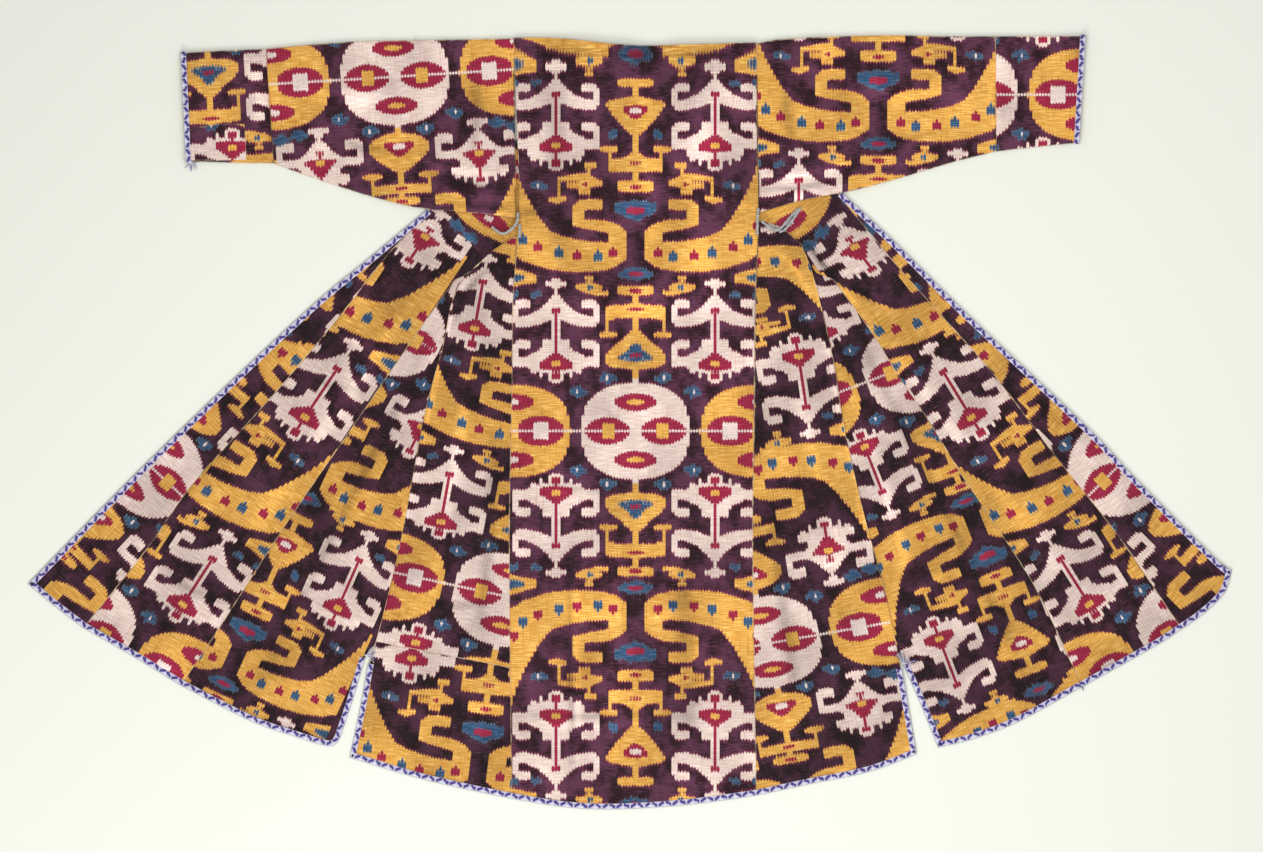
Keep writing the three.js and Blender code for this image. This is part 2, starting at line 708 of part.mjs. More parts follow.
/** A sleeve and its pieced end, and the braid round the opening. */
function addSleeve(word, part) {
  const height = 2 * CLOTH + SLEEVE_HOLLOW;
  const cover = BRAID_CLOTH + CLEAR;
  const lift = (x, y) => liftOfSleeve(x, y, part);
  const sleeve = {
    top: part.sleeveTop,
    under: part.sleeveUnder,
    pull: [SEAM, -SEAM],
    stations: SLEEVE_STATIONS,
  };
  const cuff = {
    top: part.cuffTop,
    under: part.cuffUnder,
    pull: [SEAM, -CLEAR],
    stations: CUFF_STATIONS,
  };
  add("sleeve_" + word, flatTube({ ...sleeve, lift, height, wall: CLOTH }), VELVET_YELLOW);
  add("cuff_" + word, flatTube({ ...cuff, lift, height, wall: CLOTH }), VELVET_YELLOW);
  add(
    "braid_cuff_" + word,
    flatTube({
      ...cuff,
      begin: 1 - BRAID_WIDTH / part.cuffTop.getLength(),
      pull: [0, CLEAR],
      stations: 1,
      lift: (x, y) => lift(x, y) - cover,
      height: height + 2 * cover,
      wall: BRAID_CLOTH,
      margin: -cover,
    }),
    BRAID_LILAC,
  );
}

/** Braid along a front's open edge, round its hems and up the side slit. */
function addFrontBraid(word, part) {
  const path = follow([
    { curve: part.frontEdge, from: 1 / SEAM_ROWS, steps: SEAM_ROWS - 1 },
    { curve: part.gussetHem, steps: GUSSET_COLUMNS },
    { curve: part.frontHem, steps: FRONT_COLUMNS },
    { curve: part.sideHem, steps: SIDE_COLUMNS },
    { curve: part.slitFront, from: 1, to: 0, steps: SLIT_ROWS },
  ]);
  add("braid_front_" + word, braidRun(path, -part.side, flat), BRAID_LILAC);
}

/** Braid down one back slit, along the hem and up the other, lying on the gores. */
function addBackBraid() {
  const path = follow([
    { curve: LEFT.slitBack, steps: SLIT_ROWS },
    { curve: LEFT.goreHem, steps: GORE_COLUMNS },
    { curve: BACK_HEM, steps: BACK_COLUMNS },
    { curve: RIGHT.goreHem, from: 1, to: 0, steps: GORE_COLUMNS },
    { curve: RIGHT.slitBack, from: 1, to: 0, steps: SLIT_ROWS },
  ]);
  const leftCorner = BACK_HEM.points[0].x;
  const rightCorner = BACK_HEM.points[BACK_HEM.points.length - 1].x;
  const lift = (x, y) => {
    if (x < leftCorner) return liftOfGore(x, y, LEFT);
    if (x > rightCorner) return liftOfGore(x, y, RIGHT);
    return 0;
  };
  add("braid_back", braidRun(path, 1, lift), BRAID_LILAC);
}

addBack();
for (const [word, part] of Object.entries({ left: LEFT, right: RIGHT })) {
  addShoulderTurn(word, part);
  addBackGore(word, part);
  addFrontEdgeGore(word, part);
  addFrontPanel(word, part);
  addFrontSideGore(word, part);
  addSleeve(word, part);
  addFrontBraid(word, part);
}
addBackBraid();
for (const { name, rows } of VENT_CORDS) {
  add(name, cordAlong(rows), CORD_GREY);
}
for (const { name, heading, spread, ...sizes } of TUFTS) {
  const { degToRad } = THREE.MathUtils;
  add(name, tuft({ heading: degToRad(heading), spread: degToRad(spread), ...sizes }), TUFT_PURPLE);
}

export default robe;
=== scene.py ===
import math
import random

import bmesh
import bpy
import numpy as np
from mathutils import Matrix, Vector
from mathutils.bvhtree import BVHTree


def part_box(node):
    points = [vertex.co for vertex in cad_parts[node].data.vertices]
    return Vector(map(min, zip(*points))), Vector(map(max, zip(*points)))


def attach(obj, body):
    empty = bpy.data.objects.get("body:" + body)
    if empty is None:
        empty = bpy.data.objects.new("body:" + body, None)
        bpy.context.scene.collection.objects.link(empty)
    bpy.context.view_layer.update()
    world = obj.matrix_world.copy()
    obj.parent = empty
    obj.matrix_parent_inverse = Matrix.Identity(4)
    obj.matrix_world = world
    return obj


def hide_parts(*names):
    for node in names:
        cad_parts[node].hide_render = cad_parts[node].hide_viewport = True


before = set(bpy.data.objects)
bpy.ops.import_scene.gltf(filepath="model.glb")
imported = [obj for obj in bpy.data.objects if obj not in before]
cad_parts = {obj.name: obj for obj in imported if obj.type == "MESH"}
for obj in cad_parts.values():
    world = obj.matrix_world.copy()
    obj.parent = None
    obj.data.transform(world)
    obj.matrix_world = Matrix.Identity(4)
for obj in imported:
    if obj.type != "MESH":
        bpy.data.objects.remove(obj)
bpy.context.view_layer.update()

# ---------------------------------------------------------------------------
# Velvet: the central length of the robe.
# Silk-velvet ikat, woven 387 mm wide on a hand loom. The warp is bound and dyed in
# bundles before weaving, so every shape is stepped across the warp and feathered along it.
# ---------------------------------------------------------------------------

MM = 0.001  # a millimetre, in metres
STEP = 1.6 * MM  # one step of the chart and of the layout grid
MIDDLE = (630, 422.5)  # the robe's middle on the layout grid, counted across and down
HALF_REPEAT = 565  # steps between two rows of discs; the chart is mirrored at both
SLIPPED = 5.5  # steps by which the trees on one side of the discs slipped on the loom
BUNDLE = 3  # steps in one dyed bundle of warp
ROW = 3.2  # steps along the warp between two rows of vertices
PILE = 0.0013  # thickness of the velvet
SLIP = 0.5  # steps by which the bundles of a plain shape slip on the loom, to either side
HAIR, TIGHT, FIRM = 0.2, 0.25, 0.3  # the same for the finest, the thin and the small shapes
BLED, FRAYED, TORN = 1.2, 1.4, 1.6  # the same for the blue shapes, whose dye bled
FINE = 0.5  # steps by which a small shape is drawn fuller, so that its fringe doesn't eat it
SCATTER = (12.9898, 78.233, 37.719, 43758.5453)  # numbers without a common measure, for the slips
EMPTY = -40.0  # depth far outside every shape
LENS_ROWS = 24
REACH = 30  # steps round a shape within which its depth is worked out
GLOSS = 1.06  # painted brightness of the pile on the back and the left sleeve, a painted sheen
LOOSE = 0.0003  # height of the waves of cloth that lies loose
PILE_SHINE = 400.0  # how much a metre's rise of a fold brightens the pile's colour, and a trough darkens it: painted light and shade on the folds
DULLEST, GLOSSIEST = 0.3, 1.5  # the limits of that painted brightness
CLEAR = 0.0002  # least height of the cloth's back over the table
ON_TOP = 0.0005  # height of a pieced scrap over the cloth that it is sewn into
SEAM_REACH = 0.0005  # how far a piece reaches past its outline, into the seam
SEAM_DIP = 0.0009  # how far the cloth is drawn down at a seam
SEAM_ROUND = 0.0032  # how far in from the seam it starts to turn down
EVENINGS = 10  # times that the form's facets are evened out under the cloth
PLAIN = 3  # how many times coarser the hidden pieces are woven
ABOVE, CLOSE = 0.2, 0.05  # heights well over every piece, to look down from and to look round from
LEVEL = 0.05  # least upward part of a face that counts as the upper side
SAME = 1e-5  # distance at which two points are one
FAR_OFF = 1e9

DYES = ("white", "yellow", "red", "blue", "pale", "gold", "rose")


def lens(u, s, wide, tall, power=2.0):
    """A disc or lens as bundle rows: across, near edge, far edge."""
    rows = []
    for k in range(LENS_ROWS + 1):
        share = -1 + 2 * k / LENS_ROWS
        half = tall * max(1 - abs(share) ** power, 0) ** (1 / power)
        rows.append((u + wide * share, s - half, s + half))
    return rows


def box(u0, u1, s0, s1):
    """A plain block as bundle rows."""
    return [(u0, s0, s1), (u1, s0, s1)]


def stairs(first, *treads):
    """Blocks side by side, each given by its outer side, near edge and far edge."""
    rows = []
    for outer, near, far in treads:
        rows += [(first, near, far), (outer - 0.01, near, far)]
        first = outer
    return rows


def edges(rows, u):
    """Near and far edge of a shape at each place across it."""
    table = np.array(rows)
    return np.interp(u, table[:, 0], table[:, 1]), np.interp(u, table[:, 0], table[:, 2])


class Chart:
    """How deep each corner of the cloth lies inside each dye's shapes, in steps."""

    def __init__(self, across, along):
        self.bundle = np.floor(across / BUNDLE)
        self.x = np.abs((self.bundle + 0.5) * BUNDLE)
        turn = np.mod(along, 2 * HALF_REPEAT)
        self.t = np.minimum(turn, 2 * HALF_REPEAT - turn)
        self.flip = np.floor(along / HALF_REPEAT)
        self.depth = {dye: np.full(len(across), EMPTY) for dye in DYES}
        self.shapes = 0

    def ragged(self, picked, size):
        """Each bundle slips a little on the loom, so its edge isn't in line with the next."""
        self.shapes += 1
        seed = self.bundle[picked] * SCATTER[0] + self.shapes * SCATTER[1] + self.flip[picked] * SCATTER[2]
        return size * (2 * np.mod(np.sin(seed) * SCATTER[3], 1) - 1)

    def draw(self, dye, rows, slip=SLIP, axis=0, start=0, way=1, mirror=True):
        """Adds one shape, at both sides of its axis unless it isn't mirrored there."""
        u = np.abs(self.x - axis) if mirror else self.x - axis
        s = (self.t - start) * way
        low, high = min(r[1] for r in rows) - REACH, max(r[2] for r in rows) + REACH
        picked = (u >= rows[0][0]) & (u <= rows[-1][0]) & (s > low) & (s < high)
        near, far = edges(rows, u[picked])
        move = self.ragged(picked, slip)
        inside = np.minimum(s[picked] - near - move, far + move - s[picked]) + (FINE if slip <= FIRM else 0)
        field = self.depth[dye]
        field[picked] = np.maximum(field[picked], inside)

    def draw_all(self, shapes, **place):
        """Adds shapes that share one place, each given by its dye, its rows and perhaps its slip."""
        for shape in shapes:
            self.draw(*shape, **place)


# Rows of the tree: place across the warp, near edge, far edge, in steps.
TREE_TOP = stairs(0, (4, 0, 43), (9, 2, 43), (13, 10, 43), (17, 5.5, 33), (21, 12, 31), (25, 10, 29),
                  (30, 14.5, 27))
TREE_ARM = [(8, 20, 43.5), (10, 20, 43), (14, 20, 36), (18, 20, 31.5), (22, 18, 30.5), (26, 17, 28),
            (30, 16.3, 26), (42, 16.3, 26)]
TREE_LOW = [(0, 43, 89), (2, 43, 88.5), (5.7, 43, 84.5), (5.8, 62.8, 84), (10, 61.3, 79), (14, 59.7, 76),
            (18, 58, 72), (22, 57.6, 70.5), (26, 56.5, 68.5), (30, 56, 67), (38, 56, 66)]
TREE_AXIS = 79.5  # half way between the white discs' axis and the selvage's


def tree(chart, start, stretch=0):
    """The hooked tree between the discs, from its tip to its foot."""
    place = dict(axis=TREE_AXIS, start=start)
    on = dict(axis=TREE_AXIS, start=start + stretch)
    chart.draw("white", TREE_TOP, **place)
    if stretch:
        chart.draw("white", TREE_TOP, **on)
    chart.draw_all([
        ("white", TREE_ARM),
        ("white", stairs(38, (42, 16, 40.5), (45, 20.5, 38.5))),
        ("white", [(26, 35.5, 41.5), (28, 34.2, 43), (38, 34.2, 43), (39, 35, 42)]),
        ("white", TREE_LOW),
        ("white", stairs(37.5, (42, 56.5, 81.5), (45, 60.5, 78))),
        ("white", [(26, 76, 82), (28, 75, 83.5), (38, 75, 83.5), (39, 76, 82.5)]),
        ("white", box(0, 1.9, 80, 97)),
        ("white", stairs(0, (4, 94.5, 104), (9.5, 97, 101.5))),
    ], **on)
    chart.draw_all([
        ("red", box(0, 5, 4.0, 9.2 + 1.5 * bool(stretch)), TIGHT),
        ("red", box(0, 2, 8, 13.5 + stretch), FIRM),
    ], **place)
    chart.draw_all([
        ("red", [(0, 12.5, 31), (3, 12.5, 30), (8, 12.8, 26), (12, 13.3, 23.5), (17, 14.5, 20.5)]),
        ("red", box(0, 2, 28, 70), FIRM),
        ("red", box(0, 5, 69.5, 75)),
        ("gold", lens(0, 19.5, 5.5, 2.9)),
    ], **on)


def short_tree(chart):
    """The tree next to the far row of discs, with one pair of hooks."""
    chart.draw_all([
        ("white", stairs(0, (4, 46.5, 56), (9.5, 47.5, 52.5))),
        ("white", box(0, 1.9, 52, 64), FIRM),
        ("white", [(0, 60, 96), (4, 60.5, 96), (8, 64.5, 96), (12, 70, 96), (17, 74, 96), (22, 77, 85),
            (38, 77.5, 85), (42, 77, 84)]),
        ("white", stairs(37, (41, 60, 84.5), (44, 62.5, 82))),
        ("white", [(25, 61.5, 70.5), (28, 60, 69.5), (38, 59.5, 69), (40, 60.5, 69)]),
        ("white", stairs(0, (4, 94, 115), (9, 94, 113), (13, 94, 105), (17, 94, 109.5), (21, 94.5, 103),
            (25, 94.5, 105), (29, 94.5, 101.5))),
        ("red", box(0, 5, 70.3, 73), FIRM),
        ("red", box(0, 2, 72, 79), FIRM),
        ("red", [(0, 77.5, 97), (4, 78, 95.5), (8, 78.5, 90), (12, 79, 85.5), (17, 79.5, 82)]),
        ("red", box(0, 2, 94, 107), FIRM),
        ("red", box(0, 5, 106, 110), FIRM),
        ("gold", lens(0, 81.7, 5.5, 2.9)),
    ], axis=TREE_AXIS, start=HALF_REPEAT, way=-1)


def star(chart, x, s):
    """A blue star with a pale heart, between the discs and the trees."""
    chart.draw_all([
        ("blue", [(-9, -1, 1.5), (-5, -2.5, 2.5), (-2, -5, 5), (2, -5, 5), (5, -2.5, 3),
            (9, -1.2, 1.4)], TORN),
        ("pale", lens(0, 0, 1.3, 2.4)),
    ], axis=x, start=s, mirror=False)


def discs(chart, start, way):
    """The white disc on the axis, the yellow one on the selvage, and their lenses."""
    chart.draw_all([
        ("white", lens(0, 0, 55.6, 48, 2.3)),
        ("red", lens(28, 0, 23, 13.8, 1.8)),
        ("gold", box(22, 32.5, -7.5, 7.5)),
        ("red", lens(0, 29, 21.5, 9, 1.8)),
        ("gold", [(0, 26, 32), (4, 26, 31), (7.5, 28, 31)]),
        ("yellow", lens(122, 0, 58, 46, 2.3)),
        ("red", lens(95, 0, 23.5, 15, 2.2)),
        ("pale", box(88.5, 101.5, -8.5, 8.5)),
        ("red", lens(123, 29, 22, 8.5, 1.9)),
        ("pale", [(116, 28, 30), (120, 26, 32), (126, 26, 32)]),
    ], start=start, way=way)


def first_jug(chart):
    """The jug hanging from the near disc."""
    chart.draw_all([
        ("white", box(0, 3.5, 46, 54), FIRM),
        ("yellow", box(0, 3.5, 53, 63), FIRM),
        ("yellow", [(0, 61, 101), (4, 61.5, 100), (6, 61.9, 98), (10, 62.4, 94.6), (14, 62.9, 90),
            (20, 63.5, 86), (24, 64.3, 82.6), (27, 65.4, 79.5), (28.5, 67, 77)]),
        ("yellow", box(0, 4, 98, 116), FIRM),
        ("yellow", stairs(0, (8, 113, 127), (22, 113, 126), (26, 111, 125.5), (29, 98.4, 124))),
        ("yellow", [(18.5, 95, 97.5), (22, 93.8, 99), (33, 93.5, 99), (36.5, 95, 97.5)]),
        ("yellow", box(0, 3.5, 124, 138), FIRM),
        ("yellow", [(0, 136, 145), (14, 136, 145), (18, 137, 143.5)]),
        ("blue", [(0, 69.5, 88), (4, 69.6, 85.4), (8, 70, 79.5), (14, 70.8, 75.6), (17, 72, 73.5)]),
        ("rose", lens(0, 75.5, 7.5, 2.4)),
        ("pale", lens(9, 72, 2, 1.2)),
        ("red", lens(0, 121.8, 8, 1.4), FIRM),
        ("red", lens(0, 140, 7.5, 2.2), FIRM),
        ("blue", lens(0, 157, 18, 6, 1.4), FRAYED),
        ("rose", lens(0, 157, 8, 2.6)),
    ])


def second_jug(chart):
    """The jug that stands head to head with the first one, half way along."""
    chart.draw_all([
        ("blue", [(0, 210, 230.5), (2, 210.9, 229.9), (10, 214.6, 228.8), (16, 217.5, 228),
            (20, 219.5, 227)], BLED),
        ("rose", [(0, 216, 224), (8, 217.5, 223)]),
        ("yellow", [(0, 239, 250), (14, 239, 250), (17.5, 241, 249)]),
        ("red", lens(0, 244, 5.5, 2), FIRM),
        ("yellow", box(0, 3.5, 248, 262), FIRM),
        ("yellow", [(0, 259, 279), (4, 259, 278), (8, 259, 275), (12, 259, 272.5), (27.7, 259.5, 272)]),
        ("yellow", box(24.4, 27.8, 261, 280), FIRM),
        ("yellow", [(17, 280, 283), (20, 278.7, 284.6), (32, 278.7, 284.6), (35, 280, 283)]),
        ("yellow", box(0, 3.7, 272, 300), FIRM),
        ("red", lens(0, 267.5, 7, 1.5), FIRM),
        ("blue", lens(22, 296, 5, 4), FRAYED),
        ("yellow", [(0, 295, 336), (5, 296.6, 335.5), (10, 301, 334.3), (16, 308.4, 333.2),
            (22, 315.4, 332), (27, 322.5, 331), (28.5, 325, 329)]),
        ("red", [(0, 311.5, 327), (4, 313, 326.7), (8, 317, 326), (13, 321, 325.5)]),
        ("pale", lens(0, 321, 7, 2.9)),
        ("yellow", box(0, 3, 334, 348), FIRM),
        ("yellow", [(0, 346, 354.4), (14, 346, 354.4), (17, 347.5, 353)]),
        ("blue", lens(0, 373, 17, 6, 1.4), FRAYED),
        ("rose", lens(0, 373, 8, 2.4)),
    ])


def third_jug(chart):
    """The jug hanging from the far disc, a little shorter than the first."""
    chart.draw_all([
        ("white", box(0, 3.6, 46, 52.5), FIRM),
        ("yellow", box(0, 3.6, 51.5, 58), FIRM),
        ("yellow", [(0, 56, 96), (6, 56.5, 95), (10, 57, 91.5), (14, 58, 89), (18, 59.2, 86),
            (24, 62, 81), (28, 65, 77), (29.5, 68, 74)]),
        ("red", [(0, 66, 80.5), (4, 66, 79.5), (8, 65.4, 76), (12, 65.5, 73), (15, 67, 70.5)]),
        ("pale", lens(0, 69.8, 7.5, 3)),
        ("yellow", box(0, 3.6, 94, 123), FIRM),
        ("yellow", [(0, 107, 116.5), (20, 108.5, 117.5), (30, 109.5, 118)]),
        ("yellow", box(26.8, 30, 100, 116), FIRM),
        ("yellow", [(19, 97.5, 100), (24, 96, 102.5), (33, 96, 102), (38, 97, 99.5)]),
        ("red", lens(0, 112, 6.5, 1.3), FIRM),
        ("yellow", [(0, 121, 128.5), (14, 121, 128.5), (17, 122.5, 127)]),
        ("red", lens(0, 125.5, 7, 1.6), FIRM),
    ], start=HALF_REPEAT, way=-1)


def small_bird(chart, start, way):
    """The small bird beside a jug's foot."""
    chart.draw_all([
        ("yellow", [(33, -1, 1), (38, -4, 4), (46, -5.2, 5), (54, -3.8, 3.8), (60, 0.5, 3.5)]),
        ("yellow", [(27, -6.5, -2), (31, -7.5, -3.5), (38, -7.4, -2), (44, -6, -1), (47, -5, -1)]),
        ("yellow", box(45, 48, 3, 11.5), FIRM),
        ("yellow", box(41, 52, 8.6, 11.4), FIRM),
        ("blue", lens(46, 0.3, 2.8, 1.8), FIRM),
    ], start=start, way=way)


def selvage_triangle(chart, start):
    """The triangle on the selvage in front of a crescent, with its blue drops."""
    chart.draw_all([
        ("yellow", [(98, -4.8, 2.2), (105, -5.8, 4.5), (115, -7.6, 7.2), (126, -9.8, 11)]),
        ("blue", [(111, -1.2, 1.2), (118, -3.6, 3), (126, -4.6, 4)]),
        ("red", box(120, 126, -2, 2), FIRM),
        ("blue", box(116, 126, -20, -15), FRAYED),
        ("blue", lens(100, -17, 6, 2.4), FRAYED),
    ], start=start)


# The crescent's far edge at its curl and on its horn, and its near edge: place across and along the
# warp, in steps. Its spots: their dye and the same two places.
CRESCENT_CURL = [(8.4, 197.9), (11.7, 201.7), (16, 205), (22.5, 208.2), (25.8, 209), (25.9, 188.7),
                 (46.4, 189.2), (55, 190.8)]
CRESCENT_FAR = [(63.8, 192.4), (70, 194), (76.8, 195.7), (82, 198), (87.6, 201), (89.2, 205), (93.6, 209.3),
                (97.9, 215.2), (102.3, 223.4), (106.6, 230.4), (111, 238.5), (114.7, 246.7), (119, 256),
                (123, 269), (126, 280)]
CRESCENT_NEAR = [(8.4, 173), (12.2, 170.2), (16, 167), (20.4, 164.2), (29, 161.5), (37.7, 160),
                 (50.7, 159.4), (63.8, 159.2), (73.5, 160), (82, 161), (89.8, 162.6), (98.5, 165.3),
                 (102.8, 167), (110, 169), (114.7, 171.3), (119, 174.6), (126, 178)]
CRESCENT_SPOTS = [("red", 21, 178.2), ("blue", 38.8, 174.6), ("red", 58, 175.6), ("blue", 76.8, 178.4),
                  ("red", 98.5, 184), ("blue", 112.8, 191), ("red", 122.5, 205.5)]
SPOT = stairs(0, (1.5, -3.8, 5.0), (4.5, -3.8, 2.2))


def crescent(chart, shift):
    """The horned crescent that opens from the selvage, curled at its inner end."""
    near, far = np.array(CRESCENT_NEAR), np.array(CRESCENT_CURL + CRESCENT_FAR)
    across = sorted(set(near[:, 0]) | set(far[:, 0]))
    body = [(u, np.interp(u, near[:, 0], near[:, 1]), np.interp(u, far[:, 0], far[:, 1])) for u in across]
    chart.draw_all([
        ("yellow", body),
        ("yellow", [(25.8, 197.9, 209.5), (33.4, 199.5, 211), (44.2, 201, 211), (50.8, 202.6, 211.5),
            (51, 202.6, 231.5), (56, 203.6, 230.4), (60.5, 205, 226.6), (63.8, 206, 223)]),
        ("yellow", [(32.8, 222, 230), (36, 221, 231.5), (51.5, 221, 231.5)]),
    ], start=shift)
    for dye, u, s in CRESCENT_SPOTS:
        chart.draw(dye, SPOT, FIRM, axis=(u // BUNDLE + 0.5) * BUNDLE, start=shift + s)


def big_bird(chart):
    """The bird on its stand, with its comb turned to the selvage."""
    chart.draw_all([
        ("yellow", box(44, 56, 237, 240.5), TIGHT),
        ("yellow", box(48, 52, 239, 245), FIRM),
        ("yellow", [(32.8, 246, 249), (40, 245, 252), (50, 242.6, 257), (56, 242.6, 256.4),
            (56.8, 242.6, 246.7), (66, 243.2, 246.7), (68, 243.6, 246)], TIGHT),
        ("yellow", [(49.7, 250, 256.5), (56, 250, 256.6), (60, 250, 255.9), (70, 250.4, 254.3),
            (77, 249.4, 253), (79, 248.8, 250.5)], TIGHT),
        ("yellow", box(75, 79, 230, 250), FIRM),
        ("yellow", [(68, 231.5, 234), (73, 229.5, 234), (78, 227.5, 233), (86, 229.6, 232.4)], TIGHT),
        ("red", lens(50, 246.5, 2.6, 1.8), FIRM),
        ("yellow", box(44, 48, 251.6, 264), FIRM),
        ("yellow", box(40, 52, 263, 267.5), TIGHT),
        ("blue", [(87.5, 244, 246), (92, 242.6, 247.6), (96.5, 241.5, 248.5), (101, 242.6, 247.6),
            (105.5, 244, 246)], TORN),
        ("pale", lens(96.5, 245, 2, 1.6), TIGHT),
    ])


def dyed(across, along):
    """All the shapes of one repeat, drawn at the given places of the cloth."""
    chart = Chart(across, along)
    discs(chart, 0, 1)
    discs(chart, HALF_REPEAT, -1)
    tree(chart, 42.5 + SLIPPED * (chart.flip % 2))
    tree(chart, 260, stretch=5.5)
    short_tree(chart)
    first_jug(chart)
    second_jug(chart)
    third_jug(chart)
    for x, s in ((57.5, 39.5), (28, 53)):
        star(chart, x, s)
    for x, s in ((57.5, 39.5), (28, 53), (99, 53), (117, 57)):
        star(chart, x, HALF_REPEAT - s)
    small_bird(chart, 143, 1)
    small_bird(chart, 369, -1)
    selvage_triangle(chart, 153.4)
    selvage_triangle(chart, 366.8)
    for shift in (0, 214):
        crescent(chart, shift)
    big_bird(chart)
    for line in (0, HALF_REPEAT):
        chart.draw("pale", box(0, 126, line - 0.5, line + 0.5), HAIR)
    return chart.depth


def ink(code):
    """A colour written as six hex digits, as the linear values that the shader takes."""
    parts = [int(code[k : k + 2], 16) / 255 for k in (1, 3, 5)]
    return tuple(c / 12.92 if c <= 0.04045 else ((c + 0.055) / 1.055) ** 2.4 for c in parts) + (1.0,)


class Nodes:
    """Short names for making and linking a material's nodes."""

    def __init__(self, tree):
        self.tree = tree

    def make(self, kind, settings=None, **inputs):
        """A node with its settings, and its inputs under their names or as _ and their number."""
        node = self.tree.nodes.new(kind)
        for name, value in (settings or {}).items():
            setattr(node, name, value)
        for name, value in inputs.items():
            self.put(node.inputs[int(name[1:]) if name[1:].isdigit() else name.replace("_", " ")], value)
        return node

    def put(self, socket, value):
        if isinstance(value, bpy.types.NodeSocket):
            self.tree.links.new(value, socket)
        else:
            socket.default_value = value

    def math(self, operation, a, b=0.0, c=0.0):
        return self.make("ShaderNodeMath", {"operation": operation}, _0=a, _1=b, _2=c).outputs[0]

    def times(self, a, b):
        return self.math("MULTIPLY", a, b)

    def plus(self, a, b):
        return self.math("ADD", a, b)

    def less(self, a, b):
        return self.math("SUBTRACT", a, b)

    def ramp(self, value, low, high, to_low=0.0, to_high=1.0):
        """A soft step from one value to another."""
        node = self.make("ShaderNodeMapRange", {"interpolation_type": "SMOOTHSTEP"}, Value=value)
        for name, number in (("From Min", low), ("From Max", high), ("To Min", to_low), ("To Max", to_high)):
            node.inputs[name].default_value = number
        return node.outputs[0]

    def mix(self, share, a, b):
        node = self.make("ShaderNodeMix", {"data_type": "RGBA"})
        for name, value in (("Factor_Float", share), ("A_Color", a), ("B_Color", b)):
            self.put(next(s for s in node.inputs if s.identifier == name), value)
        return next(s for s in node.outputs if s.identifier == "Result_Color")

    def grain(self, place, x, y, detail=2.0, rough=0.5):
        """Noise with so many grains to the metre across and along."""
        spread = self.make("ShaderNodeVectorMath", {"operation": "MULTIPLY"}, _0=place, _1=(x, y, 1.0))
        noise = self.make("ShaderNodeTexNoise", Vector=spread.outputs[0], Detail=detail, Roughness=rough)
        noise.inputs["Scale"].default_value = 1.0
        return noise.outputs["Fac"]

    def map(self, name):
        return self.make("ShaderNodeUVMap", {"uv_map": name}).outputs[0]

    def attribute(self, name):
        return self.make("ShaderNodeAttribute", {"attribute_name": name}).outputs

    def parts(self, vector):
        return self.make("ShaderNodeSeparateXYZ", Vector=vector).outputs

    def relief(self, shader, height, strength, rise):
        bump = self.make("ShaderNodeBump", Height=height, Strength=strength, Distance=rise)
        self.put(shader.inputs["Normal"], bump.outputs[0])


def finish(name, specular):
    """A new material, with the maker of its nodes and its shader."""
    material = bpy.data.materials.new(name)
    material.use_nodes = True
    shader = material.node_tree.nodes["Principled BSDF"]
    shader.inputs["Specular IOR Level"].default_value = specular
    return material, Nodes(material.node_tree), shader


